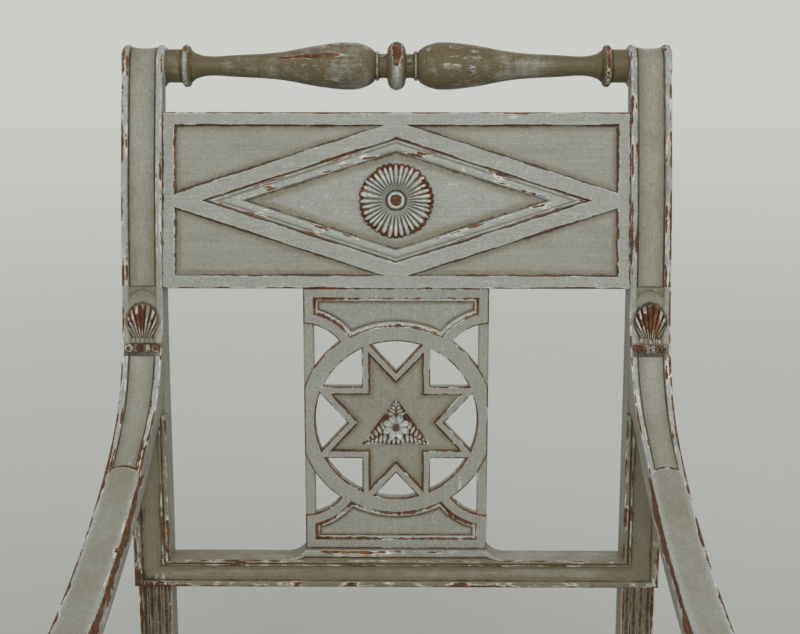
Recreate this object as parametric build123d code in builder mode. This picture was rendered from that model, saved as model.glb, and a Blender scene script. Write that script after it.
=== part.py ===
from build123d import *
import os
from math import asin, atan2, cos, degrees, pi, radians, sin, sqrt

# A painted armchair in the late 18th century Swedish manner, with a drop-in seat.
# Millimetres, +Z up, front towards -Y, left and right as seen from the front.
# The origin is on the floor, under the middle of the chair.

# Overall depth, and the clearances of the joints
chair_depth = 530.0
joint_gap = 0.1
bore_gap = 0.05

# Back posts: upright to the bend above the seat rails, then an arc that leans back to a roll above the panel
post_gap = 413.0
post_width = 36.0
post_depth = 30.0
bend_rise = 268.0
back_radius = 1090.0
roll_rise = 116.2
roll_radius = 18.5
neck_angle = 105.0
strap_bead = 7.0
strap_channel_depth = 3.0
channel_back_angle = 60.0
frame_step = 2.5
leg_step = 6.0
heel_sweep = 55.0
foot_depth = 26.0
foot_width = 22.0
post_flute_count = 4
post_flute_radius = 2.3
post_flute_margin = 6.0

# Turned top rail, from the middle outwards
rail_bead_radius = 8.6
rail_bead_height = 21.3
rail_neck_radius = 10.7
rail_fillet_start = 15.2
rail_fillet_radius = 13.0
rail_bulb_start = 19.4
rail_bulb_radius = 20.9
rail_bulb_place = 42.0
rail_stem_radius = 9.0
rail_ring_radius = 18.7
rail_ring_width = 8.4
rail_end_radius = 14.8
rail_end_length = 14.8
rail_tenon_radius = 8.0
rail_tenon_length = 16.0

# Lozenge panel, flat and raked between the posts
panel_height = 155.2
panel_thickness = 15.0
panel_recess = 3.0
panel_border = 11.5
panel_field_depth = 2.5
lozenge_outer_rise = 69.8
lozenge_inner_rise = 43.1
lozenge_slope = 0.322
lozenge_depth = 2.0
panel_tenon_height = 100.0
panel_tenon_thickness = 7.0
rosette_radius = 33.4
rosette_height = 7.5
rosette_edge = 3.0
rosette_hollow_radius = 10.0
rosette_boss_radius = 7.5

# Pierced splat, upright between the panel and the platform of the lower rail
splat_width = 165.0
splat_height = 241.8
splat_thickness = 11.0
splat_recess = 6.0
splat_tongue_thickness = 6.0
splat_tongue_height = 7.0
ring_outer_radius = 88.0
ring_inner_radius = 72.8
star_radius = 80.0
star_field_radius = 63.0
star_stretch = 1.085
star_drop = 2.0
star_points = 8
star_field_depth = 1.5
tablet_margin = 9.5
tablet_side_margin = 13.0
tablet_depth = 2.0
side_strip_width = 9.0
bracket_centre_x = 84.7
bracket_centre_z = 44.6
bracket_radius = 53.5
bracket_width = 9.0
spray_width = 60.6
spray_rise = 20.5
spray_drop = 22.3
spray_side = (17.0, 2.5)
spray_thickness = 2.2
spray_flower_radius = 12.5
spray_flower_height = 4.2
spray_flower_drop = 6.2

# Lower back rail with its platform, above the seat rails
lower_rail_rise = 85.0
lower_rail_height = 26.3
lower_rail_depth = 28.0
platform_height = 9.2
platform_spread = 15.0
platform_hollow = (5.4, 2.8)
lower_channel_height = 12.0
lower_channel_depth = 2.5
back_tenon_length = 12.0
back_tenon_thickness = 10.0
back_tenon_height = 17.0

# Arms: the joint laps the panel, then reach before the post face and drop below the joint's top
arm_joint_lap = 1.7
arm_joint_height = 116.0
arm_housing = 9.0
arm_width = 30.5
arm_roll_reach = 352.0
arm_roll_drop = 206.5
arm_roll_radius = 16.0
arm_roll_width = 34.0
arm_seat_drop = 227.0
arm_seat_length = 31.0
arm_top_curve = ((26.0, 95.0), (110.0, 150.0), (230.0, 188.0))
arm_under_curve = ((200.0, 204.0), (90.0, 166.0))
arm_taper_reach = 80.0
support_setback = 34.0

# Seat rails with the rebate that carries the drop-in seat
seat_rail_top = 412.0
seat_rail_height = 62.0
rail_flat = 26.0
rebate_width = 8.0
rebate_depth = 12.0
rail_setback = 7.0
seat_channel_height = 34.0
seat_channel_depth = 2.0
seat_tenon_thickness = 10.0
seat_tenon_height = 36.0
seat_tenon_length = 16.0
rear_tenon_length = 11.0

# Front legs: a square block over a turned, tapered and fluted leg
block_width = 46.0
block_rise = 4.0
block_drop = 6.0
leg_top_radius = 19.0
leg_ring_radius = 21.5
leg_neck_radius = 15.0
leg_cap_height = 4.0
leg_collar_height = 10.0
leg_cove_height = 3.0
leg_neck_height = 7.0
leg_shoulder_height = 6.0
leg_ankle_radius = 12.2
leg_foot_height = 62.0
leg_anklet_height = 10.0
leg_anklet_swell = 3.0
leg_foot_radius = 14.5
leg_toe_radius = 11.0
leg_flute_count = 10
leg_flute_radius = 3.2
leg_flute_margin = 8.0

# Arm supports
support_foot_height = 9.6
support_cove_height = 4.2
support_belly_height = 27.0
support_head_height = 27.0
support_cap_height = 7.0
support_lip = 1.5
support_base_radius = 12.5
support_vase_radius = 12.8
support_waist_radius = 8.0
support_cap_radius = 11.5
support_tenon_radius = 7.0
support_tenon_length = 18.0
support_top_tenon_length = 11.0

# Corner blocks, screws and pegs
corner_leg = 46.0
corner_height = 38.0
corner_drop = 8.0
screw_radius = 2.0
screw_head_radius = 4.0
screw_head_height = 2.6
screw_bite = 15.0
corner_screw_inset = 14.0
corner_screw_spacing = 18.0
arm_screw_radius = 2.5
arm_screw_head_radius = 5.0
arm_screw_head_height = 4.0
arm_screw_bite = 7.0
arm_screw_drops = (35.0, 87.0)
arm_screw_head_cover = 7.5
peg_radius = 3.0
peg_spacing = 18.0
back_peg_radius = 2.5

# Drop-in seat
seat_clearance = 1.5
slip_bar_width = 48.0
slip_bar_thickness = 22.0
cover_thickness = 1.2
cover_gap = 0.2
cover_flange = 20.0
web_width = 50.0
web_thickness = 1.8
web_count = 4
web_inset = 18.0
hessian_thickness = 0.8
hessian_inset = 12.0
crown_height = 34.0
crown_radius = 2200.0
crown_draw_in = 3.0
crown_corner_radius = 16.0
crown_edge_radius = 6.0
tack_radius = 3.0
tack_head = 1.1
tack_shank_radius = 0.8
tack_shank_length = 9.0
tacks_per_side = 5
tack_inset = 13.0

# Places worked out from the sizes above
front_y = -chair_depth / 2
heel_y = chair_depth / 2
post_face_y = heel_y - heel_sweep - post_depth
post_back_y = post_face_y + post_depth
post_inner = post_gap / 2
post_outer = post_inner + post_width
post_middle = (post_inner + post_outer) / 2
bend_height = seat_rail_top + bend_rise
lower_rail_bottom = seat_rail_top + lower_rail_rise
splat_bottom = lower_rail_bottom + lower_rail_height + platform_height
panel_bottom = splat_bottom + splat_height
panel_rake = degrees(asin((panel_bottom + panel_height / 2 - bend_height) / back_radius))
panel_centre_height = panel_bottom + panel_height / 2 * cos(radians(panel_rake))
roll_height = panel_centre_height + roll_rise
arm_joint_top = panel_bottom + arm_joint_lap
arc_centre = (post_face_y + back_radius, bend_height)
roll_y = arc_centre[0] - sqrt((back_radius - roll_radius) ** 2 - (roll_height - bend_height) ** 2)
roll_angle = degrees(atan2(roll_height - bend_height, roll_y - arc_centre[0]))
panel_face_y = arc_centre[0] - sqrt(back_radius**2 - (panel_centre_height - bend_height) ** 2) + panel_recess
panel_plane = Plane(
    origin=(0, panel_face_y, panel_centre_height),
    x_dir=(1, 0, 0),
    z_dir=(0, -cos(radians(panel_rake)), sin(radians(panel_rake))),
)
splat_face_y = post_face_y + splat_recess
splat_plane = Plane(
    origin=(0, splat_face_y, splat_bottom + splat_height / 2),
    x_dir=(1, 0, 0),
    z_dir=(0, -1, 0),
)
rail_inner = post_inner
rebate_wall = rail_inner + rebate_width
rail_outer = rebate_wall + rail_flat
rail_thickness = rebate_width + rail_flat
arm_x = rebate_wall + rail_flat / 2
support_reach = arm_roll_reach - support_setback
support_y = post_face_y - support_reach
arm_seat_z = arm_joint_top - arm_seat_drop
ledge_z = seat_rail_top - rebate_depth
seat_rail_bottom = seat_rail_top - seat_rail_height
seat_tenon_z = seat_rail_bottom + (seat_rail_height - rebate_depth) / 2
block_inner = post_middle - block_width / 2
block_outer = post_middle + block_width / 2
block_back_y = front_y + block_width
block_bottom = seat_rail_bottom - block_drop
front_rail_y = front_y + rail_setback
front_rail_back_y = front_rail_y + rail_thickness
front_wall_y = front_rail_back_y - rebate_width
rear_rail_y = post_face_y - rebate_width
side_tenon_x = (rail_inner + rail_outer) / 2
front_tenon_y = (front_rail_y + front_rail_back_y) / 2
rear_tenon_y = rear_rail_y + rail_thickness / 2

os.makedirs("parts", exist_ok=True)


def save(piece, name):
    """Label a finished piece and write it as its own file."""
    piece.part.label = name
    export_step(piece.part, f"parts/{name}.step")


def save_pair(piece, name):
    """Write a right-hand piece and its mirrored left-hand twin."""
    save(piece, f"right_{name}")
    with BuildPart() as twin:
        mirror(piece.part, about=Plane.YZ)
    save(twin, f"left_{name}")


def block(low, high, grow=0.0, mode=Mode.ADD):
    """A box between two corners, grown on every side by a clearance."""
    size = [high[i] - low[i] + 2 * grow for i in range(3)]
    middle = [(high[i] + low[i]) / 2 for i in range(3)]
    with Locations(tuple(middle)):
        Box(*size, mode=mode)


def rod(start, direction, radius, length, mode=Mode.ADD):
    """A round bar from a point, along a direction."""
    with Locations(Plane(origin=start, z_dir=direction)):
        Cylinder(radius, length, align=(Align.CENTER, Align.CENTER, Align.MIN), mode=mode)


# Joints shared by two pieces: each tenon is a pair of corners, cut with the joint gap as a mortise
panel_tenon = (
    (post_inner, -panel_tenon_height / 2, -(panel_thickness + panel_tenon_thickness) / 2),
    (post_inner + back_tenon_length, panel_tenon_height / 2, -(panel_thickness - panel_tenon_thickness) / 2),
)
lower_tenon_y = post_face_y + lower_rail_depth / 2
lower_tenon_z = lower_rail_bottom + lower_rail_height / 2
lower_tenon = (
    (
        post_inner,
        lower_tenon_y - back_tenon_thickness / 2,
        lower_tenon_z - back_tenon_height / 2,
    ),
    (
        post_inner + back_tenon_length,
        lower_tenon_y + back_tenon_thickness / 2,
        lower_tenon_z + back_tenon_height / 2,
    ),
)
tenon_low_z = seat_tenon_z - seat_tenon_height / 2
tenon_high_z = seat_tenon_z + seat_tenon_height / 2
half_tenon = seat_tenon_thickness / 2
side_rear_tenon = (
    (side_tenon_x - half_tenon, post_face_y, tenon_low_z),
    (side_tenon_x + half_tenon, post_face_y + seat_tenon_length, tenon_high_z),
)
side_front_tenon = (
    (side_tenon_x - half_tenon, block_back_y - seat_tenon_length, tenon_low_z),
    (side_tenon_x + half_tenon, block_back_y, tenon_high_z),
)
rear_tenon = (
    (post_inner, rear_tenon_y - half_tenon, tenon_low_z),
    (post_inner + rear_tenon_length, rear_tenon_y + half_tenon, tenon_high_z),
)
front_tenon = (
    (block_inner, front_tenon_y - half_tenon, tenon_low_z),
    (block_inner + seat_tenon_length, front_tenon_y + half_tenon, tenon_high_z),
)

# Pegs: starting points on the outside, and how deep each reaches
peg_levels = (seat_tenon_z - peg_spacing / 2, seat_tenon_z + peg_spacing / 2)
rear_peg_y = post_face_y + seat_tenon_length / 2
front_side_peg_y = block_back_y - seat_tenon_length / 2
front_peg_x = block_inner + seat_tenon_length / 2
rear_peg_length = post_outer - side_tenon_x + half_tenon
front_side_peg_length = block_outer - side_tenon_x + half_tenon
front_peg_length = front_tenon_y + half_tenon - front_y
side_pegs = []
for level in peg_levels:
    side_pegs.append(((post_outer, rear_peg_y, level), (-1, 0, 0), rear_peg_length))
    side_pegs.append(((block_outer, front_side_peg_y, level), (-1, 0, 0), front_side_peg_length))
    side_pegs.append(((front_peg_x, front_y, level), (0, 1, 0), front_peg_length))

# Back frame pegs run forward from the back of the post, through the middle of the tenons
back_peg_x = post_inner + back_tenon_length / 2
panel_peg_levels = (
    panel_centre_height - panel_tenon_height / 4,
    panel_centre_height + panel_tenon_height / 4,
)
back_peg_levels = (lower_tenon_z, *panel_peg_levels)


def post_face_at(z):
    """Distance back of the post's front face at a height."""
    rise = max(z - bend_height, 0.0)
    return arc_centre[0] - sqrt(back_radius**2 - rise**2)


neck_y = roll_y + roll_radius * cos(radians(neck_angle))
neck_z = roll_height - roll_radius * sin(radians(neck_angle))
neck_rise = neck_z - bend_height
neck_run = neck_y - post_back_y
post_back_radius = (neck_rise**2 + neck_run**2) / (2 * neck_run)


def post_back_at(z):
    """Distance back of the post's back face at a height."""
    rise = max(z - bend_height, 0.0)
    return post_back_y + post_back_radius - sqrt(post_back_radius**2 - rise**2)


back_peg_tips = {lower_tenon_z: lower_tenon[0][1]}
for level in panel_peg_levels:
    back_peg_tips[level] = post_face_at(level) + panel_thickness / 2

# Arm screws: from a counterbore in the post's back, through the post, into the arm
arm_screw_levels = [arm_joint_top - drop for drop in arm_screw_drops]
arm_screw_head_y = post_back_y - arm_screw_head_cover
arm_screw_tip_y = post_face_y + arm_housing - arm_screw_bite

# Right back post
post_profile = Plane.YZ.offset(post_inner)
foot_front_y = heel_y - foot_depth
tip_y = roll_y + roll_radius * cos(radians(roll_angle))
tip_z = roll_height + roll_radius * sin(radians(roll_angle))
with BuildPart() as back_post:
    with BuildSketch(post_profile):
        with BuildLine():
            Line((foot_front_y, 0), (heel_y, 0))
            TangentArc((post_face_y, block_bottom), (foot_front_y, 0), tangent=(0, -1))
            Line((post_face_y, block_bottom), (post_face_y, bend_height))
            TangentArc((post_face_y, bend_height), (tip_y, tip_z), tangent=(0, 1))
            CenterArc((roll_y, roll_height), roll_radius, -neck_angle, neck_angle + roll_angle)
            TangentArc((post_back_y, bend_height), (neck_y, neck_z), tangent=(0, 1))
            Line((post_back_y, bend_height), (post_back_y, block_bottom))
            TangentArc((post_back_y, block_bottom), (heel_y, 0), tangent=(0, -1))
        make_face()
    extrude(amount=post_width)
    with BuildSketch(Plane.XZ):
        with BuildLine():
            Polyline(
                (post_inner, roll_height + 2 * roll_radius),
                (post_outer, roll_height + 2 * roll_radius),
                (post_outer, arm_joint_top),
                (post_outer - frame_step, arm_joint_top),
                (post_outer - frame_step, lower_rail_bottom),
                (post_outer - leg_step, lower_rail_bottom),
                (post_outer - leg_step, seat_rail_top + rebate_depth),
                (post_outer, seat_rail_top + rebate_depth),
                (post_outer, block_bottom),
                (post_outer - leg_step, block_bottom),
                (post_middle + foot_width / 2, 0),
                (post_middle - foot_width / 2, 0),
                (post_inner, block_bottom),
                close=True,
            )
        make_face()
    extrude(amount=chair_depth, both=True, mode=Mode.INTERSECT)
    # Channel down the front of the strap, over the roll
    channel_foot_z = arm_joint_top + strap_bead
    channel_rise = channel_foot_z - bend_height
    channel_foot_y = arc_centre[0] - sqrt((back_radius - strap_channel_depth) ** 2 - channel_rise**2)
    inset_radius = roll_radius - strap_channel_depth
    inset_tip = (
        roll_y + inset_radius * cos(radians(roll_angle)),
        roll_height + inset_radius * sin(radians(roll_angle)),
    )
    reach_out = 3 * roll_radius
    outside = (
        roll_y + reach_out * cos(radians(channel_back_angle)),
        roll_height - reach_out * sin(radians(channel_back_angle)),
    )
    foot_angle = atan2(channel_foot_z - bend_height, channel_foot_y - arc_centre[0])
    with BuildSketch(Plane.YZ.offset(post_inner + strap_bead)):
        with BuildLine():
            inset_front = TangentArc(
                (channel_foot_y, channel_foot_z),
                inset_tip,
                tangent=(sin(foot_angle), -cos(foot_angle)),
            )
            inset_roll = CenterArc(
                (roll_y, roll_height), inset_radius, -channel_back_angle, channel_back_angle + roll_angle
            )
            Polyline(
                inset_roll @ 0,
                outside,
                (roll_y + reach_out, roll_height + reach_out),
                (post_face_y - reach_out, roll_height + reach_out),
                (post_face_y - reach_out, channel_foot_z),
                (channel_foot_y, channel_foot_z),
            )
        make_face()
    extrude(amount=post_width - 2 * strap_bead, mode=Mode.SUBTRACT)
    # Channel of the lower frame, and the flutes of the leg below it
    block(
        (post_inner + strap_bead, post_face_y, lower_rail_bottom + strap_bead),
        (
            post_outer - frame_step - strap_bead,
            post_face_y + lower_channel_depth,
            arm_joint_top - arm_joint_height - strap_bead,
        ),
        mode=Mode.SUBTRACT,
    )
    flute_low = seat_rail_top + rebate_depth + post_flute_margin
    flute_high = lower_rail_bottom - post_flute_margin
    flute_pitch = (post_width - leg_step) / (post_flute_count + 1)
    for k in range(post_flute_count):
        rod(
            (post_inner + flute_pitch * (k + 1), post_face_y, flute_low),
            (0, 0, 1),
            post_flute_radius,
            flute_high - flute_low,
            mode=Mode.SUBTRACT,
        )
    # Housing for the arm, sockets and mortises
    block(
        (post_inner - 1, post_face_y - arm_housing, arm_joint_top - arm_joint_height),
        (post_outer + 1, post_face_y + arm_housing, arm_joint_top),
        mode=Mode.SUBTRACT,
    )
    rod(
        (post_inner, roll_y, roll_height),
        (1, 0, 0),
        rail_tenon_radius + bore_gap,
        rail_tenon_length + joint_gap,
        mode=Mode.SUBTRACT,
    )
    block(*lower_tenon, grow=joint_gap, mode=Mode.SUBTRACT)
    block(*side_rear_tenon, grow=joint_gap, mode=Mode.SUBTRACT)
    block(*rear_tenon, grow=joint_gap, mode=Mode.SUBTRACT)
    with BuildSketch(panel_plane.offset(panel_tenon[0][2] - joint_gap)):
        with Locations(((panel_tenon[0][0] + panel_tenon[1][0]) / 2, 0)):
            Rectangle(back_tenon_length + 2 * joint_gap, panel_tenon_height + 2 * joint_gap)
    extrude(amount=panel_tenon_thickness + 2 * joint_gap, mode=Mode.SUBTRACT)
    for start, direction, length in side_pegs:
        if start[0] == post_outer:
            rod(start, direction, peg_radius + bore_gap, length + bore_gap, mode=Mode.SUBTRACT)
    for level in back_peg_levels:
        rod(
            (back_peg_x, post_back_at(level) + post_depth, level),
            (0, -1, 0),
            back_peg_radius + bore_gap,
            post_back_at(level) + post_depth - back_peg_tips[level] + bore_gap,
            mode=Mode.SUBTRACT,
        )
    for level in arm_screw_levels:
        rod(
            (post_middle, post_face_y, level),
            (0, 1, 0),
            arm_screw_radius + bore_gap,
            post_depth,
            mode=Mode.SUBTRACT,
        )
        rod(
            (post_middle, arm_screw_head_y - bore_gap, level),
            (0, 1, 0),
            arm_screw_head_radius + bore_gap,
            post_depth,
            mode=Mode.SUBTRACT,
        )
save_pair(back_post, "back_post")

# Turned top rail, lathe profile from the middle outwards
rail_ring_start = post_inner - rail_end_length - rail_ring_width
bead_drop = rail_bead_height - rail_bead_radius
bead_foot = rail_neck_radius - bead_drop
bead_angle = degrees(atan2(bead_foot, sqrt(rail_bead_radius**2 - bead_foot**2)))
with BuildPart() as turned_top_rail:
    with BuildSketch(Plane(origin=(0, roll_y, roll_height), x_dir=(1, 0, 0), z_dir=(0, -1, 0))):
        with BuildLine():
            bead = CenterArc((0, bead_drop), rail_bead_radius, bead_angle, 90 - bead_angle)
            neck = Line(bead @ 0, (rail_fillet_start, rail_neck_radius))
            fillet_ring = ThreePointArc(
                neck @ 1,
                ((rail_fillet_start + rail_bulb_start) / 2, rail_fillet_radius),
                (rail_bulb_start, (rail_neck_radius + rail_fillet_radius) / 2),
            )
            bulb = Spline(
                fillet_ring @ 1,
                (rail_bulb_place, rail_bulb_radius),
                (rail_bulb_place * 2, (rail_bulb_radius + rail_stem_radius) / 2),
                (rail_ring_start - rail_ring_width, rail_stem_radius),
                tangents=((1, 1), (1, 0)),
            )
            cove = Line(bulb @ 1, (rail_ring_start, rail_end_radius))
            ring = ThreePointArc(
                cove @ 1,
                (rail_ring_start + rail_ring_width / 2, rail_ring_radius),
                (rail_ring_start + rail_ring_width, rail_end_radius),
            )
            Polyline(
                ring @ 1,
                (post_inner, rail_end_radius),
                (post_inner, rail_tenon_radius),
                (post_inner + rail_tenon_length, rail_tenon_radius),
                (post_inner + rail_tenon_length, 0),
                (0, 0),
                bead @ 1,
            )
        make_face()
    revolve(axis=Axis((0, roll_y, roll_height), (1, 0, 0)))
    mirror(about=Plane.YZ)
save(turned_top_rail, "turned_top_rail")

# Lozenge panel: border, raised lozenge and sunk fields
lozenge_half = {rise: rise / lozenge_slope for rise in (lozenge_outer_rise, lozenge_inner_rise)}


def lozenge(rise, mode=Mode.ADD):
    """A rhombus whose sides have the panel's slope."""
    Polygon((lozenge_half[rise], 0), (0, rise), (-lozenge_half[rise], 0), (0, -rise), align=None, mode=mode)


with BuildPart() as lozenge_panel:
    with BuildSketch(panel_plane):
        Rectangle(post_gap, panel_height)
    extrude(amount=-panel_thickness)
    with BuildSketch(panel_plane):
        Rectangle(post_gap - 2 * panel_border, panel_height - 2 * panel_border)
        lozenge(lozenge_outer_rise, mode=Mode.SUBTRACT)
    extrude(amount=-panel_field_depth, mode=Mode.SUBTRACT)
    with BuildSketch(panel_plane):
        lozenge(lozenge_inner_rise)
    extrude(amount=-lozenge_depth, mode=Mode.SUBTRACT)
    for side in (-1, 1):
        with BuildSketch(panel_plane.offset(panel_tenon[0][2])):
            with Locations((side * (post_inner + back_tenon_length / 2), 0)):
                Rectangle(back_tenon_length, panel_tenon_height)
        extrude(amount=panel_tenon_thickness)
    # Flat underside for the splat's shoulder, and the groove for its tongue
    block(
        (-splat_width / 2, splat_face_y - panel_thickness, panel_bottom - panel_thickness),
        (splat_width / 2, splat_face_y + 2 * panel_thickness, panel_bottom),
        mode=Mode.SUBTRACT,
    )
    tongue_y = splat_face_y + splat_thickness / 2
    block(
        (-splat_width / 2 + tablet_side_margin, tongue_y - splat_tongue_thickness / 2, panel_bottom),
        (
            splat_width / 2 - tablet_side_margin,
            tongue_y + splat_tongue_thickness / 2,
            panel_bottom + splat_tongue_height,
        ),
        grow=joint_gap,
        mode=Mode.SUBTRACT,
    )
    for x in (-back_peg_x, back_peg_x):
        for level in panel_peg_levels:
            rod(
                (x, post_back_at(level), level),
                (0, -1, 0),
                back_peg_radius + bore_gap,
                post_back_at(level) - back_peg_tips[level] + bore_gap,
                mode=Mode.SUBTRACT,
            )
save(lozenge_panel, "lozenge_panel")

# Rosette on the lozenge
rosette_plane = panel_plane.offset(-lozenge_depth)
with BuildPart() as panel_rosette:
    with BuildSketch(Plane(origin=rosette_plane.origin, x_dir=(1, 0, 0), z_dir=rosette_plane.y_dir * -1)):
        with BuildLine():
            Polyline(
                (rosette_boss_radius, rosette_edge),
                (0, rosette_edge),
                (0, 0),
                (rosette_radius, 0),
                (rosette_radius, rosette_edge),
            )
            ThreePointArc(
                (rosette_radius, rosette_edge),
                ((rosette_radius + rosette_hollow_radius) / 2, rosette_height),
                (rosette_hollow_radius, rosette_edge),
            )
            Line((rosette_hollow_radius, rosette_edge), (rosette_boss_radius, rosette_edge))
        make_face()
    revolve(axis=Axis(rosette_plane.origin, rosette_plane.z_dir))
    with BuildSketch(rosette_plane.offset(rosette_edge)):
        Circle(rosette_boss_radius)
    extrude(amount=rosette_height - rosette_edge, taper=25)
save(panel_rosette, "panel_rosette")


def star_outline(tip_radius):
    """Corners of the eight-pointed star of two crossed squares with long tips, stretched upright and lowered."""
    hollow = tip_radius * cos(3 * pi / star_points) / cos(2 * pi / star_points)
    corners = []
    for k in range(star_points):
        tip = (k + 0.5) * 2 * pi / star_points
        dip = (k + 1) * 2 * pi / star_points
        corners.append((tip_radius * cos(tip), tip_radius * sin(tip)))
        corners.append((hollow * cos(dip), hollow * sin(dip)))
    return [(x, y * star_stretch - star_drop) for x, y in corners]


# Pierced splat: ring and star, tablets above and below, brackets in the corners
quarters = [(sx, sz) for sx in (-1, 1) for sz in (-1, 1)]
strip_inner = splat_width / 2 - side_strip_width
tablet_half_width = splat_width / 2 - tablet_side_margin
tablet_end = splat_height / 2 - tablet_margin
with BuildPart() as pierced_splat:
    with BuildSketch(splat_plane):
        Rectangle(splat_width, splat_height)
        Circle(ring_inner_radius, mode=Mode.SUBTRACT)
        Polygon(*star_outline(star_radius), align=None)
    extrude(amount=-splat_thickness)
    for sx, sz in quarters:
        with BuildSketch(splat_plane):
            with Locations((sx * bracket_centre_x, sz * bracket_centre_z)):
                Circle(bracket_radius - bracket_width)
            with Locations((0, sz * splat_height / 4)):
                Rectangle(2 * strip_inner, splat_height / 2, mode=Mode.INTERSECT)
            Circle(ring_outer_radius, mode=Mode.SUBTRACT)
        extrude(amount=-splat_thickness, mode=Mode.SUBTRACT)
    for sz in (-1, 1):
        with BuildSketch(splat_plane):
            with Locations((0, sz * tablet_end / 2)):
                Rectangle(2 * tablet_half_width, tablet_end)
            Circle(ring_outer_radius + tablet_depth, mode=Mode.SUBTRACT)
            for sx in (-1, 1):
                with Locations((sx * bracket_centre_x, sz * bracket_centre_z)):
                    Circle(bracket_radius, mode=Mode.SUBTRACT)
        extrude(amount=-tablet_depth, mode=Mode.SUBTRACT)
    with BuildSketch(splat_plane):
        Polygon(*star_outline(star_field_radius), align=None)
    extrude(amount=-star_field_depth, mode=Mode.SUBTRACT)
    for z in (panel_bottom, splat_bottom - splat_tongue_height):
        block(
            (-tablet_half_width, tongue_y - splat_tongue_thickness / 2, z),
            (tablet_half_width, tongue_y + splat_tongue_thickness / 2, z + splat_tongue_height),
        )
save(pierced_splat, "pierced_splat")

# Leaf spray on the star: a bowed triangle with a flower
spray_plane = splat_plane.offset(-star_field_depth)
spray_half = spray_width / 2
with BuildPart() as star_leaf_spray:
    with BuildSketch(spray_plane):
        with BuildLine():
            Line((-spray_half, -spray_drop), (spray_half, -spray_drop))
            ThreePointArc((spray_half, -spray_drop), spray_side, (0, spray_rise))
            ThreePointArc((0, spray_rise), (-spray_side[0], spray_side[1]), (-spray_half, -spray_drop))
        make_face()
    extrude(amount=spray_thickness)
    with BuildSketch(spray_plane.offset(spray_thickness)):
        with Locations((0, -spray_flower_drop)):
            Circle(spray_flower_radius)
    extrude(amount=spray_flower_height - spray_thickness, taper=30)
save(star_leaf_spray, "star_leaf_spray")

# Lower back rail: bar, platform with hollow ends, channel and tenons
platform_half = splat_width / 2
bar_top = lower_rail_bottom + lower_rail_height
with BuildPart() as lower_back_rail:
    with BuildSketch(Plane.XZ.offset(-post_face_y)):
        with BuildLine():
            Polyline(
                (platform_half + platform_spread, bar_top),
                (post_inner, bar_top),
                (post_inner, lower_rail_bottom),
                (-post_inner, lower_rail_bottom),
                (-post_inner, bar_top),
                (-platform_half - platform_spread, bar_top),
            )
            for side in (-1, 1):
                ThreePointArc(
                    (side * (platform_half + platform_spread), bar_top),
                    (side * (platform_half + platform_hollow[0]), bar_top + platform_hollow[1]),
                    (side * platform_half, splat_bottom),
                )
            Line((-platform_half, splat_bottom), (platform_half, splat_bottom))
        make_face()
    extrude(amount=-lower_rail_depth)
    block(
        (-post_inner, post_face_y, lower_tenon_z - lower_channel_height / 2),
        (post_inner, post_face_y + lower_channel_depth, lower_tenon_z + lower_channel_height / 2),
        mode=Mode.SUBTRACT,
    )
    block(
        (-tablet_half_width, tongue_y - splat_tongue_thickness / 2, splat_bottom - splat_tongue_height),
        (tablet_half_width, tongue_y + splat_tongue_thickness / 2, splat_bottom),
        grow=joint_gap,
        mode=Mode.SUBTRACT,
    )
    low, high = lower_tenon
    block(low, high)
    block((-high[0], low[1], low[2]), (-low[0], high[1], high[2]))
    for x in (-back_peg_x, back_peg_x):
        rod(
            (x, post_back_y, lower_tenon_z),
            (0, -1, 0),
            back_peg_radius + bore_gap,
            post_back_y - back_peg_tips[lower_tenon_z] + bore_gap,
            mode=Mode.SUBTRACT,
        )
save(lower_back_rail, "lower_back_rail")


def arm_point(reach, drop):
    """A place beside the arm, from its reach before the post face and its drop below the joint's top."""
    return (post_face_y - reach, arm_joint_top - drop)


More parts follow.
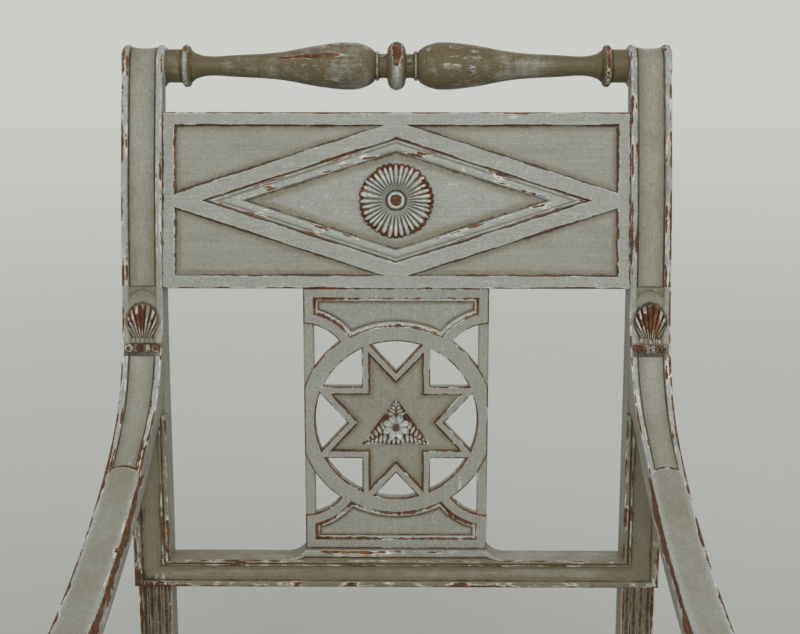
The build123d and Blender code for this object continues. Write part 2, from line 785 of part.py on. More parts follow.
# Right arm: side profile cut to its plan, with a roll at the hand
joint_bottom_z = arm_joint_top - arm_joint_height
arm_roll_y, arm_roll_top = arm_point(arm_roll_reach, arm_roll_drop)
arm_roll_z = arm_roll_top - arm_roll_radius
seat_back_reach = support_reach - arm_seat_length / 2
seat_front_reach = support_reach + arm_seat_length / 2
arm_half = arm_width / 2
with BuildPart() as arm:
    with BuildSketch(post_profile):
        with BuildLine():
            top_end = Line(
                (post_face_y + arm_housing, arm_joint_top),
                (post_face_at(arm_joint_top), arm_joint_top),
            )
            top = Spline(
                top_end @ 1,
                *[arm_point(reach, drop) for reach, drop in arm_top_curve],
                (arm_roll_y, arm_roll_top),
                tangents=((-0.09, -1), (-1, -0.06)),
            )
            Polyline(
                top @ 1,
                (arm_roll_y, arm_roll_z),
                arm_point(seat_front_reach, arm_seat_drop),
                arm_point(seat_back_reach, arm_seat_drop),
            )
            Spline(
                arm_point(seat_back_reach, arm_seat_drop),
                *[arm_point(reach, drop) for reach, drop in arm_under_curve],
                (post_face_y, joint_bottom_z),
                tangents=((1, 0.15), (1, 0.8)),
            )
            Polyline((post_face_y, joint_bottom_z), (post_face_y + arm_housing, joint_bottom_z), top_end @ 0)
        make_face()
    extrude(amount=block_outer - post_inner)
    with BuildSketch(Plane.XY.offset(arm_roll_z - 2 * arm_roll_radius)):
        with BuildLine():
            back_edge = Line((post_inner, post_face_y + arm_housing), (post_outer, post_face_y + arm_housing))
            outer_edge = Spline(
                back_edge @ 1,
                (arm_x + arm_half, post_face_y - arm_taper_reach),
                tangents=((0, -1), (0, -1)),
            )
            inner_edge = Spline(
                back_edge @ 0,
                (arm_x - arm_half, post_face_y - arm_taper_reach),
                tangents=((0, -1), (0, -1)),
            )
            Polyline(
                outer_edge @ 1,
                (arm_x + arm_half, arm_roll_y),
                (arm_x - arm_half, arm_roll_y),
                inner_edge @ 1,
            )
        make_face()
    extrude(amount=arm_joint_top - arm_roll_z + 3 * arm_roll_radius, mode=Mode.INTERSECT)
    rod((arm_x - arm_roll_width / 2, arm_roll_y, arm_roll_z), (1, 0, 0), arm_roll_radius, arm_roll_width)
    rod(
        (arm_x, support_y, arm_seat_z - joint_gap),
        (0, 0, 1),
        support_tenon_radius + bore_gap,
        support_top_tenon_length + 2 * joint_gap,
        mode=Mode.SUBTRACT,
    )
    for level in arm_screw_levels:
        rod(
            (post_middle, arm_screw_tip_y - bore_gap, level),
            (0, 1, 0),
            arm_screw_radius + bore_gap,
            arm_housing + arm_screw_bite,
            mode=Mode.SUBTRACT,
        )
save_pair(arm, "arm")

# Right arm support, turned, with a round tenon at each end
support_height = arm_seat_z - seat_rail_top
support_vase_z = support_foot_height + support_cove_height
with BuildPart() as arm_support:
    with BuildSketch(Plane(origin=(arm_x, support_y, seat_rail_top), x_dir=(1, 0, 0), z_dir=(0, -1, 0))):
        with BuildLine():
            foot_ring = ThreePointArc(
                (support_base_radius - support_lip, 0),
                (support_base_radius, support_foot_height / 2),
                (support_base_radius - support_lip, support_foot_height),
            )
            lower_neck = Line(foot_ring @ 1, (support_waist_radius, support_vase_z))
            vase = Spline(
                lower_neck @ 1,
                (support_vase_radius, support_vase_z + support_belly_height),
                (support_waist_radius, support_height - support_head_height),
                tangents=((0.5, 1), (0, 1)),
            )
            upper_neck = Line(
                vase @ 1,
                (support_cap_radius - support_lip, support_height - support_cap_height - support_foot_height),
            )
            cap = ThreePointArc(
                upper_neck @ 1,
                (support_cap_radius, support_height - support_cap_height - support_foot_height / 2),
                (support_cap_radius - support_lip, support_height - support_cap_height),
            )
            Polyline(
                cap @ 1,
                (support_cap_radius, support_height),
                (support_tenon_radius, support_height),
                (support_tenon_radius, support_height + support_top_tenon_length),
                (0, support_height + support_top_tenon_length),
                (0, -support_tenon_length),
                (support_tenon_radius, -support_tenon_length),
                (support_tenon_radius, 0),
                foot_ring @ 0,
            )
        make_face()
    revolve(axis=Axis((arm_x, support_y, seat_rail_top), (0, 0, 1)))
save_pair(arm_support, "arm_support")

# Right front leg: block, turned leg, flutes
leg_y = front_y + block_width / 2
collar_top = block_bottom - leg_cap_height
collar_bottom = collar_top - leg_collar_height
neck_top = collar_bottom - leg_cove_height
neck_bottom = neck_top - leg_neck_height
shoulder_top = neck_bottom - leg_cove_height
shaft_top = shoulder_top - leg_shoulder_height
shaft_length = shaft_top - leg_foot_height
flute_length = shaft_length - 2 * leg_flute_margin
flute_tilt = degrees(atan2(leg_top_radius - leg_ankle_radius, shaft_length))
flute_middle = leg_foot_height + shaft_length / 2
flute_offset = (leg_ankle_radius + leg_top_radius) / 2 + leg_flute_radius / 3
with BuildPart() as front_leg:
    block((block_inner, front_y, block_bottom), (block_outer, block_back_y, seat_rail_top + block_rise))
    chamfer(front_leg.faces().sort_by(Axis.Z)[-1].edges(), length=block_rise / 2)
    with BuildSketch(Plane(origin=(post_middle, leg_y, 0), x_dir=(1, 0, 0), z_dir=(0, -1, 0))):
        with BuildLine():
            collar = ThreePointArc(
                (leg_top_radius, collar_top),
                (leg_ring_radius, (collar_top + collar_bottom) / 2),
                (leg_top_radius, collar_bottom),
            )
            throat = Polyline(
                collar @ 1,
                (leg_neck_radius, neck_top),
                (leg_neck_radius, neck_bottom),
                (leg_top_radius, shoulder_top),
            )
            shaft = Polyline(throat @ 1, (leg_top_radius, shaft_top), (leg_ankle_radius, leg_foot_height))
            anklet = ThreePointArc(
                shaft @ 1,
                (leg_ankle_radius + leg_anklet_swell, leg_foot_height - leg_anklet_height / 2),
                (leg_ankle_radius, leg_foot_height - leg_anklet_height),
            )
            foot = Spline(
                anklet @ 1,
                (leg_foot_radius, leg_foot_height / 2),
                (leg_toe_radius, 0),
            )
            Polyline(foot @ 1, (0, 0), (0, block_bottom), (leg_top_radius, block_bottom), collar @ 0)
        make_face()
    revolve(axis=Axis((post_middle, leg_y, 0), (0, 0, 1)))
    with Locations((post_middle, leg_y, flute_middle)):
        with PolarLocations(0, leg_flute_count):
            with Locations(Location((flute_offset, 0, 0), (0, flute_tilt, 0))):
                Cylinder(leg_flute_radius, flute_length, mode=Mode.SUBTRACT)
    block(
        (block_inner - 1, front_wall_y, ledge_z),
        (rebate_wall, block_back_y + 1, seat_rail_top + 2 * block_rise),
        mode=Mode.SUBTRACT,
    )
    block(*side_front_tenon, grow=joint_gap, mode=Mode.SUBTRACT)
    block(*front_tenon, grow=joint_gap, mode=Mode.SUBTRACT)
    for start, direction, length in side_pegs:
        if start[0] != post_outer:
            rod(start, direction, peg_radius + bore_gap, length + bore_gap, mode=Mode.SUBTRACT)
save_pair(front_leg, "front_leg")

# Corner screws: starting points at the head's seat, with the way they point, for the right-hand corners
screw_middle = ledge_z - corner_drop - corner_height / 2
screw_low = screw_middle - corner_screw_spacing / 2
screw_high = screw_middle + corner_screw_spacing / 2
rear_corner = (rail_inner, rear_rail_y)
front_corner = (rail_inner, front_rail_back_y)
sink = (corner_leg - corner_screw_inset) / 2 - screw_head_height
corner_screws = [
    ((rear_corner[0] - sink, rear_corner[1] - corner_screw_inset, screw_low), (1, 0, 0), sink),
    ((rear_corner[0] - corner_screw_inset, rear_corner[1] - sink, screw_high), (0, 1, 0), sink),
    ((front_corner[0] - sink, front_corner[1] + corner_screw_inset, screw_low), (1, 0, 0), sink),
    ((front_corner[0] - corner_screw_inset, front_corner[1] + sink, screw_high), (0, -1, 0), sink),
]


def screw_holes(side, screws):
    """Pilot holes and head sinks for corner screws on one side of the chair."""
    for (x, y, z), (dx, dy, dz), length in screws:
        seat = (side * x, y, z)
        depth = length + screw_bite + bore_gap
        rod(seat, (side * dx, dy, dz), screw_radius + bore_gap, depth, mode=Mode.SUBTRACT)
        rod(seat, (-side * dx, -dy, -dz), screw_head_radius + bore_gap, corner_leg, mode=Mode.SUBTRACT)


# Right seat rail
rail_middle_z = (seat_rail_top + seat_rail_bottom) / 2
with BuildPart() as side_seat_rail:
    block((rail_inner, block_back_y, seat_rail_bottom), (rail_outer, post_face_y, seat_rail_top))
    block(
        (rail_inner - 1, block_back_y - 1, ledge_z),
        (rebate_wall, post_face_y + 1, seat_rail_top + 1),
        mode=Mode.SUBTRACT,
    )
    block(
        (rail_outer - seat_channel_depth, block_back_y - 1, rail_middle_z - seat_channel_height / 2),
        (rail_outer + 1, post_face_y + 1, rail_middle_z + seat_channel_height / 2),
        mode=Mode.SUBTRACT,
    )
    block(*side_rear_tenon)
    block(*side_front_tenon)
    rod(
        (arm_x, support_y, seat_rail_top + joint_gap),
        (0, 0, -1),
        support_tenon_radius + bore_gap,
        support_tenon_length + 2 * joint_gap,
        mode=Mode.SUBTRACT,
    )
    for start, direction, length in side_pegs:
        if direction[0] != 0:
            rod(start, direction, peg_radius + bore_gap, length + bore_gap, mode=Mode.SUBTRACT)
    screw_holes(1, corner_screws)
save_pair(side_seat_rail, "seat_rail")

# Front seat rail
with BuildPart() as front_seat_rail:
    block((-block_inner, front_rail_y, seat_rail_bottom), (block_inner, front_rail_back_y, seat_rail_top))
    block(
        (-block_outer, front_wall_y, ledge_z),
        (block_outer, front_rail_back_y + 1, seat_rail_top + 1),
        mode=Mode.SUBTRACT,
    )
    block(
        (-block_outer, front_rail_y - 1, rail_middle_z - seat_channel_height / 2),
        (block_outer, front_rail_y + seat_channel_depth, rail_middle_z + seat_channel_height / 2),
        mode=Mode.SUBTRACT,
    )
    low, high = front_tenon
    block(low, high)
    block((-high[0], low[1], low[2]), (-low[0], high[1], high[2]))
    for side in (-1, 1):
        screw_holes(side, corner_screws)
        for (x, y, z), direction, length in side_pegs:
            if direction[1] != 0:
                rod((side * x, y, z), direction, peg_radius + bore_gap, length + bore_gap, mode=Mode.SUBTRACT)
save(front_seat_rail, "front_seat_rail")

# Rear seat rail
with BuildPart() as rear_seat_rail:
    block(
        (-post_inner, rear_rail_y, seat_rail_bottom),
        (post_inner, rear_rail_y + rail_thickness, seat_rail_top),
    )
    block(
        (-post_outer, rear_rail_y - 1, ledge_z),
        (post_outer, post_face_y, seat_rail_top + 1),
        mode=Mode.SUBTRACT,
    )
    low, high = rear_tenon
    block(low, high)
    block((-high[0], low[1], low[2]), (-low[0], high[1], high[2]))
    for side in (-1, 1):
        screw_holes(side, corner_screws)
save(rear_seat_rail, "rear_seat_rail")

# Corner blocks under the seat, the front pair notched round the leg blocks
corner_top = ledge_z - corner_drop
corner_outlines = {
    "rear": [
        rear_corner,
        (rear_corner[0] - corner_leg, rear_corner[1]),
        (rear_corner[0], rear_corner[1] - corner_leg),
    ],
    "front": [
        (block_inner - corner_leg, front_rail_back_y),
        (block_inner, front_rail_back_y),
        (block_inner, block_back_y),
        (rail_inner, block_back_y),
        (rail_inner, block_back_y + corner_leg),
    ],
}
for end, outline in corner_outlines.items():
    with BuildPart() as corner_block:
        with BuildSketch(Plane.XY.offset(corner_top - corner_height)):
            Polygon(*outline, align=None)
        extrude(amount=corner_height)
        screw_holes(1, corner_screws)
    save(corner_block, f"{end}_right_corner_block")
    with BuildPart() as corner_twin:
        mirror(corner_block.part, about=Plane.YZ)
    save(corner_twin, f"{end}_left_corner_block")

# Fasteners
with BuildPart() as corner_block_screws:
    for side in (-1, 1):
        for (x, y, z), (dx, dy, dz), length in corner_screws:
            rod((side * x, y, z), (side * dx, dy, dz), screw_radius, length + screw_bite)
            rod((side * x, y, z), (-side * dx, -dy, -dz), screw_head_radius, screw_head_height)
save(corner_block_screws, "corner_block_screws")

with BuildPart() as arm_screws:
    for x in (-post_middle, post_middle):
        for level in arm_screw_levels:
            rod((x, arm_screw_tip_y, level), (0, 1, 0), arm_screw_radius, arm_screw_head_y - arm_screw_tip_y)
            rod((x, arm_screw_head_y, level), (0, 1, 0), arm_screw_head_radius, arm_screw_head_height)
save(arm_screws, "arm_screws")

with BuildPart() as seat_rail_pegs:
    for side in (-1, 1):
        for (x, y, z), (dx, dy, dz), length in side_pegs:
            rod((side * x, y, z), (side * dx, dy, dz), peg_radius, length)
save(seat_rail_pegs, "seat_rail_pegs")

with BuildPart() as back_frame_pegs:
    for x in (-back_peg_x, back_peg_x):
        for level in back_peg_levels:
            peg_start = post_back_at(level)
            rod((x, peg_start, level), (0, -1, 0), back_peg_radius, peg_start - back_peg_tips[level])
save(back_frame_pegs, "back_frame_pegs")

# Drop-in seat: outside of the cover, and the bars inside it
cover_half = rebate_wall - seat_clearance
cover_front = front_wall_y + seat_clearance
cover_rear = post_face_y - seat_clearance
wrap = cover_thickness + cover_gap
slip_half = cover_half - wrap
slip_front = cover_front + wrap
slip_rear = cover_rear - wrap
slip_bottom = ledge_z + wrap
slip_top = slip_bottom + slip_bar_thickness
lap_z = slip_bottom + slip_bar_thickness / 2
slip_middle_y = (slip_front + slip_rear) / 2

# Tack places round the underside, inside the rebate
tack_x = rail_inner - tack_inset
tack_front = front_rail_back_y + tack_inset
tack_rear = rear_rail_y - tack_inset
tack_places = []
for k in range(tacks_per_side):
    share = (k + 0.5) / tacks_per_side
    along_x = -tack_x + 2 * tack_x * share
    along_y = tack_front + (tack_rear - tack_front) * share
    tack_places += [(along_x, tack_front, ledge_z), (along_x, tack_rear, ledge_z)]
    tack_places += [(-tack_x, along_y, ledge_z), (tack_x, along_y, ledge_z)]


def tack_holes():
    """Holes for the tacks' shanks."""
    with Locations(*[(x, y, z + tack_shank_length / 2) for x, y, z in tack_places]):
        Cylinder(tack_shank_radius + bore_gap, tack_shank_length + 2 * bore_gap, mode=Mode.SUBTRACT)


with BuildPart() as slip_right_bar:
    block((slip_half - slip_bar_width, slip_front, slip_bottom), (slip_half, slip_rear, slip_top))
    for low_y in (slip_front, slip_rear - slip_bar_width):
        block(
            (slip_half - slip_bar_width, low_y, lap_z),
            (slip_half, low_y + slip_bar_width, slip_top),
            grow=joint_gap / 2,
            mode=Mode.SUBTRACT,
        )
    tack_holes()
save(slip_right_bar, "slip_right_bar")
with BuildPart() as slip_left_bar:
    mirror(slip_right_bar.part, about=Plane.YZ)
save(slip_left_bar, "slip_left_bar")

for name, low_y in (("slip_front_bar", slip_front), ("slip_rear_bar", slip_rear - slip_bar_width)):
    high_y = low_y + slip_bar_width
    with BuildPart() as slip_bar:
        block((-slip_half, low_y, slip_bottom), (slip_half, high_y, slip_top))
        for low_x in (-slip_half, slip_half - slip_bar_width):
            block(
                (low_x, low_y, slip_bottom),
                (low_x + slip_bar_width, high_y, lap_z),
                grow=joint_gap / 2,
                mode=Mode.SUBTRACT,
            )
        tack_holes()
    save(slip_bar, name)

# Webbing: straps from front to rear, then straps across them, then the hessian
web_low = slip_top
cross_low = web_low + web_thickness
hessian_low = cross_low + web_thickness
opening_x = 2 * (slip_half - slip_bar_width)
opening_y = slip_rear - slip_front - 2 * slip_bar_width
with BuildPart() as webbing_lengthwise:
    with Locations((0, slip_middle_y, web_low + web_thickness / 2)):
        with GridLocations(opening_x / web_count, 1, web_count, 1):
            Box(web_width, slip_rear - slip_front - 2 * web_inset, web_thickness)
save(webbing_lengthwise, "webbing_lengthwise")
with BuildPart() as webbing_crosswise:
    with Locations((0, slip_middle_y, cross_low + web_thickness / 2)):
        with GridLocations(1, opening_y / web_count, 1, web_count):
            Box(2 * (slip_half - web_inset), web_width, web_thickness)
save(webbing_crosswise, "webbing_crosswise")
with BuildPart() as hessian:
    block(
        (-slip_half + hessian_inset, slip_front + hessian_inset, hessian_low),
        (slip_half - hessian_inset, slip_rear - hessian_inset, hessian_low + hessian_thickness),
    )
save(hessian, "hessian")

padding_low = hessian_low + hessian_thickness + cover_gap
crown_top = slip_top + crown_height


def crown(bottom, grow):
    """A crowned pad: corners full, sides drawn in between them, top domed, grown outwards by an amount."""
    half = slip_half - cover_gap + grow
    front = slip_front + cover_gap - grow
    rear = slip_rear - cover_gap + grow
    with BuildSketch(Plane.XY.offset(bottom)) as outline:
        with BuildLine():
            ThreePointArc((-half, front), (0, front + crown_draw_in), (half, front))
            ThreePointArc((half, front), (half - crown_draw_in, slip_middle_y), (half, rear))
            ThreePointArc((half, rear), (0, rear - crown_draw_in), (-half, rear))
            ThreePointArc((-half, rear), (-half + crown_draw_in, slip_middle_y), (-half, front))
        make_face()
        fillet(outline.vertices(), crown_corner_radius + grow)
    extrude(outline.sketch, amount=crown_top + grow - bottom + 1)
    with Locations((0, slip_middle_y, crown_top + grow - crown_radius)):
        Sphere(crown_radius, mode=Mode.INTERSECT)


with BuildPart() as seat_padding:
    crown(padding_low, 0.0)
    fillet(seat_padding.faces().sort_by(Axis.Z)[-1].edges(), crown_edge_radius)
save(seat_padding, "seat_padding")

# Cover: skirt round the bars, crowned top over the padding, flange turned under
with BuildPart() as cover_room:
    crown(slip_top, cover_gap)
    fillet(cover_room.faces().sort_by(Axis.Z)[-1].edges(), crown_edge_radius + cover_gap)
    block(
        (-slip_half - cover_gap, slip_front - cover_gap, ledge_z + cover_thickness),
        (slip_half + cover_gap, slip_rear + cover_gap, slip_top),
    )
    block(
        (-slip_half + cover_flange, slip_front + cover_flange, ledge_z - 1),
        (slip_half - cover_flange, slip_rear - cover_flange, slip_top),
    )
with BuildPart() as seat_cover:
    crown(slip_top, wrap)
    fillet(seat_cover.faces().sort_by(Axis.Z)[-1].edges(), crown_edge_radius + wrap)
    block((-cover_half, cover_front, ledge_z), (cover_half, cover_rear, slip_top + cover_thickness))
    add(cover_room.part, mode=Mode.SUBTRACT)
    tack_holes()
save(seat_cover, "seat_cover")

# Tacks of the cover, driven up into the bars
with BuildPart() as cover_tacks:
    for x, y, z in tack_places:
        rod((x, y, z), (0, 0, -1), tack_radius, tack_head)
        rod((x, y, z), (0, 0, 1), tack_shank_radius, tack_shank_length)
save(cover_tacks, "cover_tacks")
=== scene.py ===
import math

import bmesh
import bpy
import numpy as np
from bpy.props import FloatProperty, FloatVectorProperty, IntProperty, PointerProperty
from mathutils import Matrix, Vector, geometry


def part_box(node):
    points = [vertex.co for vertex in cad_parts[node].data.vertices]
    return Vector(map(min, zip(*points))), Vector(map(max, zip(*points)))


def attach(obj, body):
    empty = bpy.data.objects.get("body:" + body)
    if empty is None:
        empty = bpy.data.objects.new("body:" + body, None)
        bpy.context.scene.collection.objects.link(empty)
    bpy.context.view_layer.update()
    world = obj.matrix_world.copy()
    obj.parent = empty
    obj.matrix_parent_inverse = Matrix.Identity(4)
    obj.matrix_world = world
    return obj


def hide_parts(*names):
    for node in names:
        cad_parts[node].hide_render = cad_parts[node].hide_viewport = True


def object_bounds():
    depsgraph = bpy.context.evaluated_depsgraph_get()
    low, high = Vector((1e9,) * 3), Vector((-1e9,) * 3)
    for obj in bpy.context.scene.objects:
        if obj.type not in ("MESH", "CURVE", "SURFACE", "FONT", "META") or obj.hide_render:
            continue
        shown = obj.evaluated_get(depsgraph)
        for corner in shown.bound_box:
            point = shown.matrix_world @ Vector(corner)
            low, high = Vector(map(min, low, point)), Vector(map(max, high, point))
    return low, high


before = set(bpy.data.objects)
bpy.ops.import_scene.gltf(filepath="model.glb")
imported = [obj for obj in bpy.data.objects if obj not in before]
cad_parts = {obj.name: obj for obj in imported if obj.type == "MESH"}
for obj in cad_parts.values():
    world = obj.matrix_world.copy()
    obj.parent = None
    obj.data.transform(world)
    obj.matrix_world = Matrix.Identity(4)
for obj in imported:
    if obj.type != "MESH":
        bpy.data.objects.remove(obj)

bl_info = {
    "name": "Painted armchair",
    "version": (1, 0, 0),
    "blender": (4, 5, 0),
    "location": "3D View > Sidebar > Armchair",
    "description": "Dresses the frame of a painted armchair with moulded, carved, worn and padded surfaces",
    "category": "Add Mesh",
}

CAD_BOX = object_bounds()
MM = 0.001
SIDES = {"right": 1, "left": -1}
QUARTERS = np.array([(-1, -1), (-1, 1), (1, -1), (1, 1)])


# Places read from the frame, in millimetres


def node_box(node):
    """Lowest and highest corner of a node of the frame, in millimetres."""
    low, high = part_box(node)
    return np.array(low) / MM, np.array(high) / MM


POST_LOW, POST_HIGH = node_box("right_back_post")
RAIL_LOW, RAIL_HIGH = node_box("turned_top_rail")
LOWER_LOW, LOWER_HIGH = node_box("lower_back_rail")
SPLAT_LOW, SPLAT_HIGH = node_box("pierced_splat")
ARM_LOW, ARM_HIGH = node_box("right_arm")
SUPPORT_LOW, SUPPORT_HIGH = node_box("right_arm_support")
LEG_LOW, LEG_HIGH = node_box("right_front_leg")
SIDE_LOW, SIDE_HIGH = node_box("right_seat_rail")
FRONT_LOW, FRONT_HIGH = node_box("front_seat_rail")
REAR_HIGH = node_box("rear_seat_rail")[1]
COVER_LOW, COVER_HIGH = node_box("seat_cover")
PAD_LOW = node_box("seat_padding")[0]
ROSETTE_LOW, ROSETTE_HIGH = node_box("panel_rosette")

POST_INNER = POST_LOW[0]
POST_OUTER = POST_HIGH[0]
POST_WIDTH = POST_OUTER - POST_INNER
POST_MIDDLE = (POST_INNER + POST_OUTER) / 2
POST_FACE = LOWER_LOW[1]
ROLL_Y = (RAIL_LOW[1] + RAIL_HIGH[1]) / 2
ROLL_Z = (RAIL_LOW[2] + RAIL_HIGH[2]) / 2
ROLL_RADIUS = POST_HIGH[2] - ROLL_Z
SEAT_TOP = SIDE_HIGH[2]
ARM_TOP = ARM_HIGH[2]

# Sizes that the frame's boxes don't give
POST_DEPTH = 30.0
BEND_RISE = 268.0
BACK_RADIUS = 1090.0
NECK_ANGLE = math.radians(105)
PANEL_HEIGHT = 155.2
PANEL_RECESS = 3.0
TONGUE = 7.0
PLATFORM_HEIGHT = 9.2
STAR_STRETCH = 1.085
STAR_DROP = 2.0
ARM_HOUSING = 9.0
ARM_SEAT_DROP = 227.0
ARM_ROLL_RADIUS = 16.0
ARM_JOINT_DROP = 116.0
ARM_ROLL_DROP = 206.5
ARM_HALF_WIDTH = 15.25
ARM_SEAT_HALF = 15.5
ARM_ARCH = 15.0
LEDGE_DEPTH = 12.0
REBATE = 8.0
BLOCK_HEIGHT = 72.0
FOOT_HALF_WIDTH = 11.0
FOOT_DEPTH = 26.0
LEG_STEP = 6.0
FRAME_STEP = 2.5
PANEL_THICKNESS = 15.0
LOZENGE_SLOPE = 0.322
PLATFORM_SPREAD = 15.0
JOINT_OVERLAP = 0.2

# Cushion of the seat: its gap over the bars, the room left for its swell, and its edge that is held
PAD_GAP = 0.3
SWELL_ROOM = 5.0
HELD_EDGE = 5.0
CLOTH_PRESSURE = 4.0
CLOTH_STIFFNESS = 12.0
CLOTH_FRAMES = 20

# Floor, in metres
FLOOR_HALF = 40.0

BEND_Z = SEAT_TOP + BEND_RISE
ARC_Y = POST_FACE + BACK_RADIUS
LEDGE_Z = SEAT_TOP - LEDGE_DEPTH
BLOCK_Z = LEG_HIGH[2] - BLOCK_HEIGHT
RAIL_TOP_Z = LOWER_HIGH[2] - PLATFORM_HEIGHT
ARM_JOINT_Z = ARM_TOP - ARM_JOINT_DROP
ARM_SEAT_Z = ARM_TOP - ARM_SEAT_DROP
ARM_MIDDLE = (SIDE_LOW[0] + REBATE + SIDE_HIGH[0]) / 2
SPLAT_BOTTOM = LOWER_HIGH[2]
SPLAT_TOP = SPLAT_HIGH[2] - TONGUE
PANEL_RAKE = math.asin((SPLAT_TOP + PANEL_HEIGHT / 2 - BEND_Z) / BACK_RADIUS)


def face_at(z):
    """Distance back of the posts' front at a height: upright to the bend, then an arc of a circle."""
    rise = np.maximum(np.asarray(z, float) - BEND_Z, 0.0)
    return ARC_Y - np.sqrt(BACK_RADIUS**2 - rise**2)


def back_at(z):
    """Distance back of the posts' rear at a height: upright to the bend, then an arc to the roll's neck."""
    neck_y = ROLL_Y + ROLL_RADIUS * math.cos(NECK_ANGLE)
    neck_rise = ROLL_Z - ROLL_RADIUS * math.sin(NECK_ANGLE) - BEND_Z
    start = POST_FACE + POST_DEPTH
    radius = (neck_rise**2 + (neck_y - start) ** 2) / (2 * (neck_y - start))
    rise = np.clip(np.asarray(z, float) - BEND_Z, 0.0, neck_rise)
    return start + radius - np.sqrt(radius**2 - rise**2)


# Settings that a user may change


def length(name, words, default):
    """A length shown in scene units."""
    return FloatProperty(name=name, description=words, default=default, min=0.0, unit="LENGTH")


def colour(name, words, default):
    """A linear colour."""
    return FloatVectorProperty(
        name=name, description=words, default=default, size=3, min=0.0, max=1.0, subtype="COLOR"
    )


def share(name, words, default, most=1.0):
    """A plain factor."""
    return FloatProperty(name=name, description=words, default=default, min=0.0, max=most, subtype="FACTOR")


def angle(name, words, degrees):
    """An angle, given in degrees."""
    return FloatProperty(name=name, description=words, default=math.radians(degrees), subtype="ANGLE")


def watts(name, words, default):
    """A lamp's power."""
    return FloatProperty(name=name, description=words, default=default, min=0.0)


class ArmchairSizes(bpy.types.PropertyGroup):
    """Sizes of the mouldings and carvings."""

    edge: length("Eased edge", "Rounding of a sharp wooden edge", 0.0011)
    wear_reach: length("Wear reach", "How far rubbing reaches in from an edge", 0.0026)
    panel_border: length("Panel border", "Width of the raised border of the panel", 0.0115)
    panel_sink: length("Panel sink", "Depth of the fields of the panel", 0.0025)
    lozenge_rise: length("Lozenge rise", "Half height of the outer lozenge", 0.0698)
    lozenge_groove: length("Lozenge groove", "Half height where the lozenge's bead starts", 0.0546)
    lozenge_field: length("Lozenge field", "Half height of the sunk lozenge", 0.0431)
    petals: IntProperty(name="Petals", description="Petals of the rosette", default=36, min=6)
    ring_outer: length("Ring outside", "Outer radius of the splat's ring", 0.088)
    ring_inner: length("Ring inside", "Inner radius of the splat's ring", 0.0728)
    star_tip: length("Star tip", "Radius of the star's points", 0.080)
    star_field: length("Star field", "Radius of the points of the sunk star", 0.063)
    splat_sink: length("Splat sink", "Depth of the sunk parts of the splat", 0.002)
    leg_flutes: IntProperty(name="Leg flutes", description="Flutes round a front leg", default=10, min=4)
    pad_start: length("Pad start", "Way down the arm to its flat pad", 0.174)
    palmette: length("Palmette", "Length of the carved end of the arm", 0.062)
    voxel: length("Cloth mesh", "Mesh size of the simulated seat", 0.005)
    swell: length("Swell", "How far the seat's cloth may swell", 0.007)


class ArmchairFinish(bpy.types.PropertyGroup):
    """Colours and wear of the finishes."""

    paint: colour("Paint", "Grey top coat", (0.276, 0.275, 0.232))
    # pale_and_sheen is paint rubbed thin, tinted bluish as a painted sheen
    pale_and_sheen: colour("Pale paint", "Where the top coat is rubbed thin and light", (0.338, 0.373, 0.362))
    glaze: colour("Glaze", "Olive brown glaze left in the hollows", (0.170, 0.139, 0.079))
    # primer_and_highlight is the chalky coat under the paint, also used as a painted white highlight on worn
    # edges, ridges and crests
    primer_and_highlight: colour("Primer", "Chalky coat under the paint", (0.58, 0.58, 0.53))
    ground: colour("Ground", "Red brown first coat", (0.090, 0.034, 0.014))
    wood: colour("Wood", "Bare worn wood", (0.225, 0.087, 0.028))
    # dirt_and_shade is dark dirt in the grooves and also painted shade on the sides of bars, under the arms
    # and in the flutes
    dirt_and_shade: colour("Dirt", "Dark dirt in the grooves", (0.032, 0.022, 0.013))
    pine: colour("Pine", "Bare pine inside the seat", (0.42, 0.26, 0.12))
    linen: colour("Linen", "Cloth of the seat", (0.60, 0.55, 0.44))
    jute: colour("Jute", "Webbing and hessian under the seat", (0.33, 0.24, 0.14))
    iron: colour("Iron", "Screws and tacks", (0.045, 0.040, 0.036))
    chips: share("Chips", "How much paint is lost from the edges", 0.5)


class ArmchairStage(bpy.types.PropertyGroup):
    """Camera and light."""

    lens: FloatProperty(name="Lens", description="Focal length", default=63.0, min=1.0, unit="CAMERA")
    eye: FloatVectorProperty(
        name="Eye",
        description="Place of the camera",
        default=(0.01481, -1.03466, 0.98062),
        subtype="TRANSLATION",
    )
    yaw: angle("Yaw", "Turn to the left", 0.53)
    pitch: angle("Pitch", "Tilt down", 10.77)
    key_power: watts("Key power", "Watts of the main lamp", 30.0)
    fill_power: watts("Fill power", "Watts of each side lamp", 10.0)
    room_light: share("Room light", "Strength of the even light all round", 0.55, 2.0)
    floor: colour("Floor", "Pale floor", (0.47, 0.48, 0.448))
    background: colour("Background", "Pale distance that the floor fades into", (0.60, 0.61, 0.575))


def in_mm(settings, *names):
    """Lengths among the settings, in millimetres."""
    return [getattr(settings, name) / MM for name in names]


# Surfaces: closed nets of points with marks for wear and dirt


